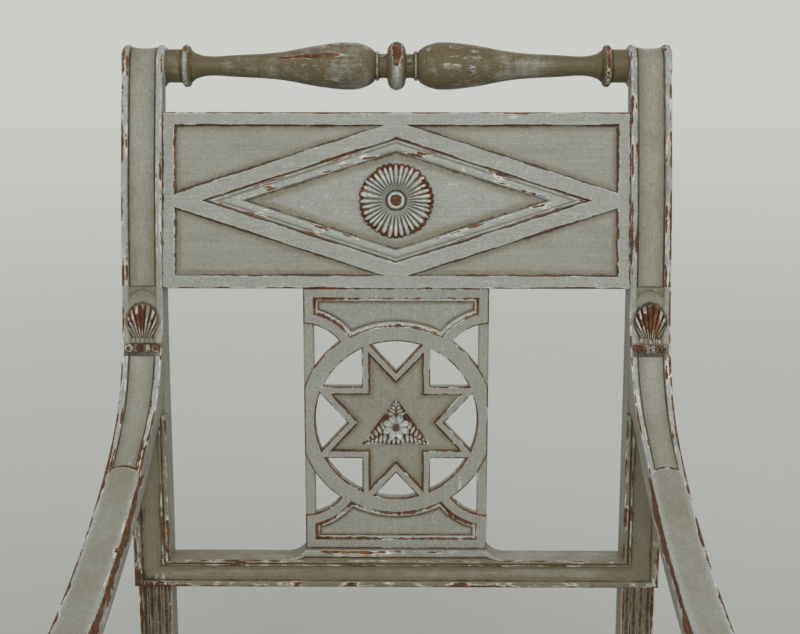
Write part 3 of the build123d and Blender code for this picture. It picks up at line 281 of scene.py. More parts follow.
class Shell:
    """Closed surfaces gathered for one piece, in millimetres.

    Each point has two marks: wear is 1 on an edge that gets rubbed, and grime_and_painted_light is 1 where
    dirt stays and where shade is painted, as on the sides of bars, and below 0 where the paint is rubbed
    white and where a highlight is painted on ridges and crests.
    """

    def __init__(self):
        self.points = []
        self.wear = []
        self.grime_and_painted_light = []
        self.faces = []
        self.count = 0

    def grid(self, points, wear=0.0, grime_and_painted_light=0.0, loop_rows=False, loop_columns=False, cap=False):
        """A net of rows by columns; either way may close on itself, and caps close the ends.

        The numbers of its points are returned.
        """
        points = np.asarray(points, float)
        rows, columns = points.shape[:2]
        index = self.count + np.arange(rows * columns).reshape(rows, columns)
        net = np.vstack([index, index[:1]]) if loop_rows else index
        net = np.hstack([net, net[:, :1]]) if loop_columns else net
        quads = np.stack([net[:-1, :-1], net[:-1, 1:], net[1:, 1:], net[1:, :-1]], -1)
        self.faces += quads.reshape(-1, 4).tolist()
        if cap:
            self.faces += [index[0].tolist(), index[-1, ::-1].tolist()]
        self.points.append(points.reshape(-1, 3))
        self.wear.append(np.broadcast_to(wear, (rows, columns)).ravel())
        self.grime_and_painted_light.append(np.broadcast_to(grime_and_painted_light, (rows, columns)).ravel())
        self.count += rows * columns
        return index

    def build(self, name, material, body, nodes, side=1, sharp=32.0):
        """Make the object, mirrored to the left for side -1, facing outwards, riding on its body."""
        mesh = bpy.data.meshes.new(name)
        points = np.vstack(self.points) * MM * (side, 1, 1)
        mesh.from_pydata(points.tolist(), [], self.faces)
        for mark in ("wear", "grime_and_painted_light"):
            layer = mesh.attributes.new(mark, "FLOAT", "POINT")
            layer.data.foreach_set("value", np.concatenate(getattr(self, mark)).astype(np.float32))
        return finish_piece(name, mesh, material, body, nodes, sharp)

    def carve(self, node, finish, ending="carved", sharp=32.0, side=1):
        """Build the painted piece that stands for one node of the frame."""
        self.build(f"{node}_{ending}", MATERIALS[finish], "frame", [node], side, sharp)

    def carve_pair(self, node, finish, ending="carved", sharp=32.0):
        """Build the piece for a node of the right side and, mirrored, for the node of the left side."""
        for side, sign in SIDES.items():
            self.carve(f"{side}_{node}", finish, ending, sharp, sign)


def finish_piece(name, mesh, material, body, nodes, sharp):
    """Turn the faces outwards, shade them, and hand the piece to its body."""
    work = bmesh.new()
    work.from_mesh(mesh)
    bmesh.ops.recalc_face_normals(work, faces=work.faces)
    work.to_mesh(mesh)
    work.free()
    mesh.shade_smooth()
    mesh.set_sharp_from_angle(angle=math.radians(sharp))
    mesh.materials.append(material)
    piece = bpy.data.objects.new(name, mesh)
    bpy.context.scene.collection.objects.link(piece)
    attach(piece, body)
    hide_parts(*nodes)
    return piece


def stations(x, y, z):
    """Places in a row; a single number stays the same all along."""
    return np.stack(np.broadcast_arrays(x, y, z), 1).astype(float)


def smooth_curve(points, start, end, count):
    """A curve through points, cubic between them with matching slopes and bends, with set end directions."""
    points = np.asarray(points, float)
    steps = np.linalg.norm(np.diff(points, axis=0), axis=1)
    n = len(points)
    system = np.zeros((n, n))
    right = np.zeros((n, points.shape[1]))
    system[0, 0] = system[-1, -1] = 1.0
    right[0] = np.asarray(start) / np.linalg.norm(start)
    right[-1] = np.asarray(end) / np.linalg.norm(end)
    for i in range(1, n - 1):
        before, after = steps[i - 1], steps[i]
        system[i, i - 1 : i + 2] = after, 2 * (before + after), before
        right[i] = 3 * (
            after / before * (points[i] - points[i - 1]) + before / after * (points[i + 1] - points[i])
        )
    slopes = np.linalg.solve(system, right)
    knots = np.concatenate([[0.0], np.cumsum(steps)])
    place = np.linspace(0, knots[-1], count)
    k = np.clip(np.searchsorted(knots, place, side="right") - 1, 0, n - 2)
    h = steps[k][:, None]
    u = ((place - knots[k]) / steps[k])[:, None]
    return (
        (2 * u**3 - 3 * u**2 + 1) * points[k]
        + (u**3 - 2 * u**2 + u) * h * slopes[k]
        + (3 * u**2 - 2 * u**3) * points[k + 1]
        + (u**3 - u**2) * h * slopes[k + 1]
    )


def run_length(curve):
    """Distance along a curve to each of its points."""
    return np.concatenate([[0.0], np.cumsum(np.linalg.norm(np.diff(curve, axis=0), axis=1))])


def bump(x, low, high):
    """Smooth step from 0 at low to 1 at high: three squares less two cubes of the share between."""
    u = np.clip((np.asarray(x, float) - low) / (high - low), 0.0, 1.0)
    return u * u * (3 - 2 * u)


def arc(centre, radius, start, end, count):
    """Points of a circle from one angle to another."""
    angle = np.linspace(start, end, count)
    return np.stack([centre[0] + radius * np.cos(angle), centre[1] + radius * np.sin(angle)], 1)


def mirror_rows(front):
    """A moulding and its mirror image, from half of its rows (share across, depth, wear, grime)."""
    front = np.asarray(front, float)
    back = front[::-1] * (-1, 1, 1, 1) + (1, 0, 0, 0)
    return np.vstack([front, back])


def bar_ring(front, fall=3.0, edge=1.2):
    """Section of a bar: its moulded front, then plain sides and back with eased corners.

    Rows are (share across, inset, depth, share of the thickness, wear, grime).
    """
    front = np.asarray(front, float)
    zeros = np.zeros(len(front))
    rows = np.stack([front[:, 0], zeros, front[:, 1], zeros, front[:, 2], front[:, 3]], 1)
    # The side rows' last value, 0.2, is painted shade that darkens the sides of every bar
    rest = [
        (1, 0, front[-1, 1] + fall, 0, 0, 0.2),
        (1, 0, -fall, 1, 0, 0.2),
        (1, 0, -edge, 1, 0.75, 0),
        (1, -edge, 0, 1, 0.75, 0),
        (1, -2 * fall, 0, 1, 0, 0),
        (0, 2 * fall, 0, 1, 0, 0),
        (0, edge, 0, 1, 0.75, 0),
        (0, 0, -edge, 1, 0.75, 0),
        (0, 0, -fall, 1, 0, 0.2),
        (0, 0, front[0, 1] + fall, 0, 0, 0.2),
    ]
    return np.vstack([rows, rest])


def moulded_bar(shell, ring, origin, across, inward, width, thickness):
    """A section carried along stations.

    A point is its origin + across (share width + inset) + inward (depth + share thickness).
    """
    count = len(origin)
    ring = np.broadcast_to(ring, (count,) + np.shape(ring)[-2:])
    across, inward = np.array(across, float), np.array(inward, float)
    width = np.broadcast_to(width, count)[:, None]
    thickness = np.broadcast_to(thickness, count)[:, None]
    side = ring[:, :, 0] * width + np.clip(ring[:, :, 1], -0.3 * width, 0.3 * width)
    depth = ring[:, :, 2] + ring[:, :, 3] * thickness
    points = origin[:, None] + across * side[..., None] + inward * depth[..., None]
    shell.grid(points, ring[:, :, 4], ring[:, :, 5], loop_columns=True, cap=True)


def worn_section(corners, edge=1.0, fall=3.0):
    """An outline whose outer corners are eased and worn, and whose inner corners hold dirt.

    Each corner becomes four points, at two distances before it and two after it.
    """
    corners = np.asarray(corners, float)
    before = np.roll(corners, 1, 0) - corners
    after = np.roll(corners, -1, 0) - corners
    size_before = np.linalg.norm(before, axis=1)
    size_after = np.linalg.norm(after, axis=1)
    before /= size_before[:, None]
    after /= size_after[:, None]
    cross = before[:, 1] * after[:, 0] - before[:, 0] * after[:, 1]
    convex = (cross * signed_area(corners) > 0).astype(float)
    steps = [
        before * np.minimum(fall, 0.45 * size_before)[:, None],
        before * np.minimum(edge, 0.3 * size_before)[:, None],
        after * np.minimum(edge, 0.3 * size_after)[:, None],
        after * np.minimum(fall, 0.45 * size_after)[:, None],
    ]
    points = np.stack([corners + step for step in steps], 1).reshape(-1, 2)
    mark = np.array([0.0, 1.0, 1.0, 0.0])
    wear = (convex[:, None] * mark).ravel()
    grime_and_painted_light = ((1 - convex)[:, None] * mark).ravel()
    return points, wear, grime_and_painted_light


def straight_bar(shell, corners, u_axis, v_axis, path):
    """A worn section carried along straight stations; path gives each station's offset."""
    points, wear, grime_and_painted_light = worn_section(corners)
    flat = points[:, :1] * np.asarray(u_axis, float) + points[:, 1:] * np.asarray(v_axis, float)
    shell.grid(path[:, None] + flat[None], wear, grime_and_painted_light, loop_columns=True, cap=True)


def lathe(shell, centre, axis, profile, count=72, radius=None, rubbed=None):
    """A turned surface about an axis; profile rows are (distance along, radius, wear, grime), ends capped.

    A point is the centre + distance times the axis + radius times a spoke, which goes round the axis.
    radius and rubbed may vary the radius and add wear round the axis.
    """
    profile = np.asarray(profile, float)
    axis = np.asarray(axis, float)
    side = np.array([0.0, 0.0, 1.0]) if abs(axis[2]) < 0.5 else np.array([1.0, 0.0, 0.0])
    other = np.cross(axis, side)
    angle = np.linspace(0, 2 * np.pi, count, endpoint=False)
    spoke = np.cos(angle)[:, None] * side + np.sin(angle)[:, None] * other
    size = profile[:, 1:2] * np.ones(count) if radius is None else radius(profile, angle)
    points = np.asarray(centre, float) + profile[:, 0][:, None, None] * axis + size[..., None] * spoke
    wear = profile[:, 2:3] + (0.0 if rubbed is None else rubbed(profile[:, :1], angle[None]))
    shell.grid(points, wear, profile[:, 3:4], loop_columns=True, cap=True)


def signed_area(loop):
    """Area of a closed loop, positive when it runs anticlockwise."""
    x, y = loop.T
    return 0.5 * np.sum(x * np.roll(y, -1) - y * np.roll(x, -1))


def mitre(loop, limit=2.2):
    """Each corner's step that moves both its sides one unit to the left; outer spikes are cut short."""
    side = np.roll(loop, -1, 0) - loop
    side /= np.linalg.norm(side, axis=1, keepdims=True)
    left = np.stack([-side[:, 1], side[:, 0]], 1)
    left_before = np.roll(left, 1, 0)
    both = left_before + left
    step = both / np.maximum(1 + np.sum(left_before * left, 1, keepdims=True), 1e-6)
    side_before = np.roll(side, 1, 0)
    turn = side_before[:, 0] * side[:, 1] - side_before[:, 1] * side[:, 0]
    size = np.linalg.norm(step, axis=1, keepdims=True)
    cut = np.where((turn[:, None] < 0) & (size > limit), limit / size, 1.0)
    return step * cut


class Flat:
    """A plane to draw on: an origin, two directions and the way out, in millimetres."""

    def __init__(self, origin, right, up):
        self.origin = np.asarray(origin, float)
        self.right = np.asarray(right, float)
        self.up = np.asarray(up, float)
        self.out = np.cross(self.right, self.up)

    def at(self, x, y, height):
        """Points from drawing places and heights over the plane."""
        x, y, height = (np.asarray(v, float)[..., None] for v in (x, y, height))
        return self.origin + x * self.right + y * self.up + height * self.out


def plate(shell, flat, loops, rows):
    """A flat piece cut along closed loops: the first is its outline and the rest are its holes.

    rows are (inset, height, wear, grime), from the back face round the edge to the front face. Each row
    is every loop moved into the material by the inset, with mitred corners. First and last rows are filled.
    """
    rows = np.asarray(rows, float)
    fills = {0: [], len(rows) - 1: []}
    numbers = {0: [], len(rows) - 1: []}
    for k, loop in enumerate(loops):
        loop = np.asarray(loop, float)
        if (signed_area(loop) > 0) != (k == 0):
            loop = loop[::-1]
        net = loop[None] + mitre(loop)[None] * rows[:, 0][:, None, None]
        points = flat.at(net[..., 0], net[..., 1], rows[:, 1:2])
        index = shell.grid(points, rows[:, 2:3], rows[:, 3:4], loop_columns=True)
        for row in fills:
            fills[row].append([Vector((x, y, 0)) for x, y in net[row]])
            numbers[row] += index[row].tolist()
    for row, polygons in fills.items():
        triangles = geometry.tessellate_polygon(polygons)
        shell.faces += [[numbers[row][i] for i in triangle] for triangle in triangles]


def ring_moulding(shell, flat, outer, inner, rows):
    """A moulding between two loops of as many corners; rows are (share inwards, height, wear, grime)."""
    rows = np.asarray(rows, float)
    outer, inner = np.asarray(outer, float), np.asarray(inner, float)
    net = outer[None] + (inner - outer)[None] * rows[:, 0][:, None, None]
    points = flat.at(net[..., 0], net[..., 1], rows[:, 1:2])
    shell.grid(points, rows[:, 2:3], rows[:, 3:4], loop_rows=True, loop_columns=True)


# Sections of the mouldings: rows of share across or distance, depth, wear, grime_and_painted_light (dirt and
# painted shade, and below 0 rubbed white and painted highlight)

STRAP_HALF = np.array([
    (0.0, 1.4, 0.7, 0.0),
    (0.5, 0.45, 1.0, 0.0),
    (1.5, 0.05, 1.0, 0.0),
    (3.0, 0.0, 0.55, 0.0),
    (4.6, 0.15, 0.9, 0.0),
    (5.7, 0.9, 0.8, 0.2),
    (6.3, 2.9, 0.0, 1.0),
    (7.0, 2.9, 0.0, 1.0),
    (7.4, 2.1, 0.25, 0.45),
    (8.6, 2.1, 0.0, 0.3),
    (11.0, 2.6, 0.0, 0.16),
    (15.0, 3.0, 0.0, 0.08),
])
FRAME_ROWS = np.array([
    (0.0, 0.9, 0.7, 0.35),
    (0.02, 0.2, 1.15, 0.25),
    (0.07, 0.0, 0.8, 0.3),
    (0.12, 0.3, 0.7, 0.4),
    (0.14, 1.9, 0.0, 1.0),
    (0.165, 1.9, 0.0, 1.0),
    (0.18, 0.8, 0.95, 0.4),
    (0.225, 0.8, 0.95, 0.4),
    (0.245, 2.5, 0.0, 1.0),
    (0.28, 2.7, 0.0, 0.55),
    (0.40, 3.0, 0.0, 0.15),
    (0.60, 3.0, 0.0, 0.15),
    (0.74, 2.7, 0.0, 0.5),
    (0.775, 2.6, 0.0, 1.0),
    (0.79, 0.7, 0.4, 0.45),
    (0.83, 0.1, 0.8, 0.3),
    (0.90, 0.0, 0.75, 0.3),
    (0.96, 0.2, 1.0, 0.25),
    (1.0, 1.3, 0.7, 0.35),
])
PLAIN_ROWS = mirror_rows([
    (0.0, 1.2, 0.7, 0.0),
    (0.03, 0.3, 1.0, 0.0),
    (0.06, 0.0, 0.8, 0.0),
    (0.14, 0.0, 0.0, 0.0),
])
# Painted shade on the posts' frame moulding, which stands under the arm
POST_FRAME_SHADE = 0.2
FLUSH_ROWS = mirror_rows([(0.0, 0.0, 0.0, 0.0), (0.2, 0.0, 0.0, 0.0)])
PAD_ROWS = mirror_rows([
    (0.0, 2.2, 0.9, 0.0),
    (0.015, 0.9, 1.0, 0.0),
    (0.05, 0.15, 1.0, 0.0),
    (0.10, 0.0, 0.6, 0.0),
    (0.17, 0.0, 0.0, 0.1),
    (0.24, 0.0, 0.0, 0.16),
    (0.32, 0.0, 0.0, 0.16),
    (0.40, 0.0, 0.0, 0.16),
    (0.48, 0.0, 0.0, 0.16),
])


def strap_rows(width):
    """The strap's bead, channel and bead over a width."""
    return mirror_rows(STRAP_HALF * (1 / width, 1, 1, 1))


def flute_rows(count, depth, margin):
    """A row of flutes, each as deep as the root of a sine, with worn ridges between them and a rim."""
    across = np.linspace(0.0, 1.0, count * 8 + 1)
    wave = np.sin(np.pi * across * count)
    hollow = np.sqrt(np.abs(wave)) * depth
    ridge = 1 - np.abs(wave)
    wear = 1.45 * ridge**1.5
    # grime_and_painted_light stays high all over the flutes: dirt in them and also painted shade, as this leg
    # stands in shadow under the arm
    grime_and_painted_light = (0.7 + 0.3 * np.abs(wave) ** 3) * (1 - 0.35 * ridge)
    rows = np.stack([margin + across * (1 - 2 * margin), hollow, wear, grime_and_painted_light], 1)
    rim = [(0.0, 1.0, 0.7, 0.0), (0.25 * margin, 0.2, 1.0, 0.0)]
    return np.vstack([rim, rows, [(1 - x, d, w, g) for x, d, w, g in rim[::-1]]])


# Shaders


class Value:
    """A socket of a shader being written; arithmetic on it adds Math nodes."""

    def __init__(self, graph, socket):
        self.graph = graph
        self.socket = socket

    def math(self, operation, *values):
        """A Math node on values and numbers."""
        return self.graph.node("ShaderNodeMath", {"operation": operation}, dict(enumerate(values)))

    def __add__(self, other):
        return self.math("ADD", self, other)

    __radd__ = __add__

    def __sub__(self, other):
        return self.math("SUBTRACT", self, other)

    def __rsub__(self, other):
        return self.math("SUBTRACT", other, self)

    def __mul__(self, other):
        return self.math("MULTIPLY", self, other)

    __rmul__ = __mul__

    def __pow__(self, other):
        return self.math("POWER", self, other)

    def sine(self):
        return self.math("SINE", self)

    def step(self, low, high):
        """0 below low, 1 above high, smooth between."""
        inputs = {"Value": self, "From Min": low, "From Max": high}
        return self.graph.node("ShaderNodeMapRange", {"interpolation_type": "SMOOTHSTEP"}, inputs)

    def clamp(self):
        """The value kept between 0 and 1."""
        return self.graph.node("ShaderNodeClamp", {}, {"Value": self})


RAYS = ("Camera", "Glossy", "Transmission")


class Graph:
    """The nodes of one material, or of the world."""

    def __init__(self, name, kind="materials"):
        self.material = getattr(bpy.data, kind).new(name)
        self.material.use_nodes = True
        self.tree = self.material.node_tree
        self.tree.nodes.clear()

    def node(self, kind, settings=None, inputs=None, output=0):
        """Any node: its settings are set first, then the values or links of its sockets."""
        node = self.tree.nodes.new(kind)
        for key, value in (settings or {}).items():
            setattr(node, key, value)
        for key, value in (inputs or {}).items():
            if isinstance(value, Value):
                self.tree.links.new(value.socket, node.inputs[key])
            else:
                node.inputs[key].default_value = value
        return Value(self, node.outputs[output]) if node.outputs else None

    def place(self, scale=None):
        """Object coordinates, stretched by a scale for each axis."""
        place = self.node("ShaderNodeTexCoord", output="Object")
        if scale is None:
            return place
        return self.node("ShaderNodeMapping", {"vector_type": "POINT"}, {"Vector": place, "Scale": scale})

    def axes(self):
        """The three object coordinates as separate values."""
        apart = self.node("ShaderNodeSeparateXYZ", {}, {"Vector": self.place()})
        outputs = apart.socket.node.outputs
        return [Value(self, outputs[k]) for k in range(3)]

    def noise(self, vector, scale, detail=3.0, roughness=0.55):
        """Smooth noise about 0.5, finer with a larger scale."""
        inputs = {"Vector": vector, "Scale": scale, "Detail": detail, "Roughness": roughness}
        return self.node("ShaderNodeTexNoise", {"noise_dimensions": "3D"}, inputs)

    def mark(self, name):
        """A mark painted on the points of a piece."""
        return self.node("ShaderNodeAttribute", {"attribute_name": name}, output="Fac")

    def mix(self, factor, first, second, blend="MIX"):
        """A colour between two colours, each from the graph or plain."""
        pair = [c if isinstance(c, Value) else (*c, 1.0) for c in (first, second)]
        settings = {"data_type": "RGBA", "blend_type": blend}
        return self.node("ShaderNodeMix", settings, {0: factor, 6: pair[0], 7: pair[1]}, output=2)

    def shade(self, colour, factor):
        """A colour made lighter or darker by a value."""
        grey = self.node("ShaderNodeCombineColor", {}, {"Red": factor, "Green": factor, "Blue": factor})
        return self.mix(1.0, colour, grey, "MULTIPLY")

    def surface(self, base, rough, height, strength, distance, **fixed):
        """Close the material: a principled shader with bump, on the output."""
        relief = {"Height": height, "Strength": strength, "Distance": distance}
        bumped = self.node("ShaderNodeBump", {}, relief)
        inputs = {"Base Color": base, "Roughness": rough, "Normal": bumped, **fixed}
        self.node_output(self.node("ShaderNodeBsdfPrincipled", {}, inputs))
        return self.material

    def seen(self):
        """1 for what the camera sees, also in a reflection or through glass."""
        rays = [self.node("ShaderNodeLightPath", output=f"Is {kind} Ray") for kind in RAYS]
        return (rays[0] + rays[1] + rays[2]).clamp()

    def node_output(self, shader, kind="ShaderNodeOutputMaterial"):
        """Put a shader on the output."""
        self.node(kind, {}, {"Surface": shader})


GRAIN = {"x": (14.0, 620.0, 620.0), "y": (620.0, 14.0, 620.0), "z": (620.0, 620.0, 14.0)}
FLAKE = {"x": (40.0, 150.0, 150.0), "y": (120.0, 34.0, 34.0), "z": (150.0, 150.0, 36.0)}
YARN = ((18.0, 700.0, 700.0), (700.0, 18.0, 700.0))
WARMTH = (1.0, 1.15, 1.6)
DULL = {"Specular IOR Level": 0.25}


def worn_paint(name, finish, grain, glaze=0.3, chips=0.0, brush=0.35, soft=0.34, tone=1.0):
    """Grey paint over a chalky and a red brown coat, glazed in the hollows and chipped at the edges.

    wear plus noise, over a level, is where the paint is lost, with a band of the chalky coat just under that
    level that is also a painted highlight along the edges; grime_and_painted_light plus noise is where dirt
    stays and where shade is painted, and below 0 it is where the paint is rubbed white and where a highlight
    is painted. glaze, chips and brush say how much there is of each, soft how gently the glaze fades, and a
    tone below 1 makes the glaze darker and warmer.
    """
    g = Graph(name)
    place = g.place()
    streak = g.noise(g.place(GRAIN[grain]), 1.0, 4.0, 0.65)
    blotch = g.noise(place, 16.0, 3.0)
    cloud = g.noise(place, 85.0, 5.0, 0.65)
    flake = g.noise(g.place(FLAKE[grain]), 1.0, 5.0, 0.62)
    patch = g.noise(place, 24.0, 2.0)
    speck = g.noise(place, 430.0, 2.0, 0.5)
    wear = g.mark("wear")
    grime_and_painted_light = g.mark("grime_and_painted_light")
    level = wear * 0.36 + flake + (patch - 0.5) * 0.6 + (finish.chips - 0.5 + chips) * 0.2
    bare = level.step(0.875, 0.895)
    # bloom_and_highlight whitens where grime_and_painted_light is below 0: rubbed paint and painted
    # highlights
    bloom_and_highlight = ((cloud - 0.5) * 1.2 + (speck - 0.5) * 2.6 - grime_and_painted_light).step(0.2, 1.1)
    # chalk_and_highlight is the chalky coat on worn edges, which is also a painted highlight along them
    chalk_and_highlight = (level.step(0.76, 0.85) * g.noise(place, 60.0, 2.0).step(0.38, 0.6) + bloom_and_highlight).clamp()
    fresh = (0.5 - glaze) * 0.3
    thin = streak * brush + cloud * 0.8 + blotch * 0.6 + wear * 0.3 - grime_and_painted_light * 0.7 + fresh
    bias = (glaze - 0.3) * 0.6 - 0.2
    # film_and_shade lays the glaze in the hollows, and also over painted shade where grime_and_painted_light
    # marks it
    film_and_shade = cloud * 0.7 + blotch * 0.8 + grime_and_painted_light * 1.1 - streak * brush + bias
    film_and_shade = film_and_shade.step(0.66 - soft, 0.66 + soft) * min(1.0, 0.35 + glaze)
    stain = [v * tone**power for v, power in zip(finish.glaze, WARMTH)]
    # soil_and_shade is where dirt stays and also where shade is painted
    soil_and_shade = (grime_and_painted_light + (cloud - 0.5) * 1.1 + (patch - 0.5) * 0.8 + (speck - 0.5) * 0.5).step(0.6, 1.05)
    # The pale_and_sheen colour laid here is partly a painted bluish sheen
    coat = g.mix(thin.step(0.6, 1.15) * 0.8, finish.paint, finish.pale_and_sheen)
    coat = g.mix(film_and_shade.clamp(), coat, stain)
    grit = g.noise(place, 520.0, 3.0, 0.7)
    coat = g.shade(coat, streak * (brush * 1.4) + grit * 0.8 + (0.6 - brush * 0.7))
    coat = g.mix(chalk_and_highlight * 0.85, coat, finish.primer_and_highlight)
    under = g.noise(place, 170.0, 3.0).step(0.44, 0.66)
    coat = g.mix(bare, coat, g.mix(under, finish.ground, finish.wood))
    coat = g.mix(soil_and_shade * 0.88, coat, finish.dirt_and_shade)
    dents = speck.step(0.73, 0.77)
    coat = g.mix(dents * 0.6, coat, finish.ground)
    rough = (0.58 - streak * 0.3 + bare * 0.2 + film_and_shade * 0.1).clamp()
    height = streak * 0.3 + flake * 0.25 - bare * 0.9 - chalk_and_highlight * 0.35 - dents * 0.4
    return g.surface(coat, rough, height, 0.5, 0.0006, **DULL)


def bare_pine(name, finish, grain):
    """Pine with long soft grain lines and a dusty surface."""
    g = Graph(name)
    line = g.noise(g.place([v * 0.35 for v in GRAIN[grain]]), 1.0, 4.0, 0.6)
    cloud = g.noise(g.place(), 22.0, 3.0)
    dark = [v * 0.55 for v in finish.pine]
    base = g.shade(g.mix(line.step(0.42, 0.66), finish.pine, dark), cloud * 0.5 + 0.75)
    return g.surface(base, line * 0.2 + 0.62, line, 0.4, 0.0005)


def woven(name, base_colour, pitch, contrast, depth, sheen=0.0):
    """Plain weave: two crossed sets of threads that go over and under each other, with uneven yarn."""
    g = Graph(name)
    x, y, z = g.axes()
    turns = 2 * math.pi / pitch
    weave = ((x + z) * turns).sine() * ((y + z) * turns).sine() * 0.5 + 0.5
    warp, weft = (g.noise(g.place(scale), 1.0, 2.0) for scale in YARN)
    yarn = warp * 0.5 + weft * 0.5
    cloud = g.noise(g.place(), 9.0, 3.0)
    tone = weave * contrast + yarn * 0.5 + cloud * 0.22 + (0.64 - contrast * 0.5)
    height = weave * 0.8 + yarn * 0.5
    fixed = {"Sheen Weight": sheen, "Sheen Roughness": 0.5, **DULL}
    return g.surface(g.shade(base_colour, tone), yarn * 0.1 + 0.8, height, 0.5, depth, **fixed)


def dull_iron(name, finish):
    """Dark iron with rust in patches."""
    g = Graph(name)
    rust = g.noise(g.place(), 380.0, 4.0).step(0.52, 0.68)
    base = g.mix(rust * 0.7, finish.iron, finish.ground)
    return g.surface(base, rust * 0.3 + 0.45, rust, 0.3, 0.0003, Metallic=0.8)


# Finishes by name: the paints' grain, glaze, chips, brush marks, softness and tone
MATERIALS = {}
# Apart from the turned top rail, glaze grows and tone falls on the lower pieces, so these come out darker and
# browner towards the bottom
PAINTS = {
    "panel": ("x", 0.30, 0.24, 0.18),
    "splat": ("z", 0.33, 0.42, 0.14),
    "post": ("z", 0.44, 0.12, 0.24),
    "rail": ("x", 0.56, 0.08, 0.3, 0.26),
    "turned": ("x", 0.78, 0.05, 0.3, 0.16, 0.74),
    "arm": ("y", 0.32, 0.26, 0.15),
    "leg": ("z", 0.88, 0.08, 0.35, 0.26, 0.62),
    "side": ("y", 0.45, 0.05, 0.3),
}
PINES = {"x": "across", "y": "along", "z": "upright"}


def make_materials(finish):
    """Every finish of the chair, by name."""
    for name, settings in PAINTS.items():
        MATERIALS[name] = worn_paint(f"paint_{name}", finish, *settings)
    for grain, way in PINES.items():
        MATERIALS[f"pine_{grain}"] = bare_pine(f"pine_{way}", finish, grain)
    MATERIALS["linen"] = woven("linen", finish.linen, 0.0011, 0.30, 0.0003, 0.15)
    MATERIALS["webbing"] = woven("jute_webbing", finish.jute, 0.0024, 0.5, 0.0006)
    MATERIALS["hessian"] = woven("hessian", [v * 1.15 for v in finish.jute], 0.0017, 0.6, 0.0005)
    MATERIALS["iron"] = dull_iron("dull_iron", finish)


def dress_node(node, material):
    """Give a node of the frame a finish, with its mesh left as it is."""
    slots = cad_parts[node].data.materials
    slots.clear()
    slots.append(MATERIALS[material])


# Back posts


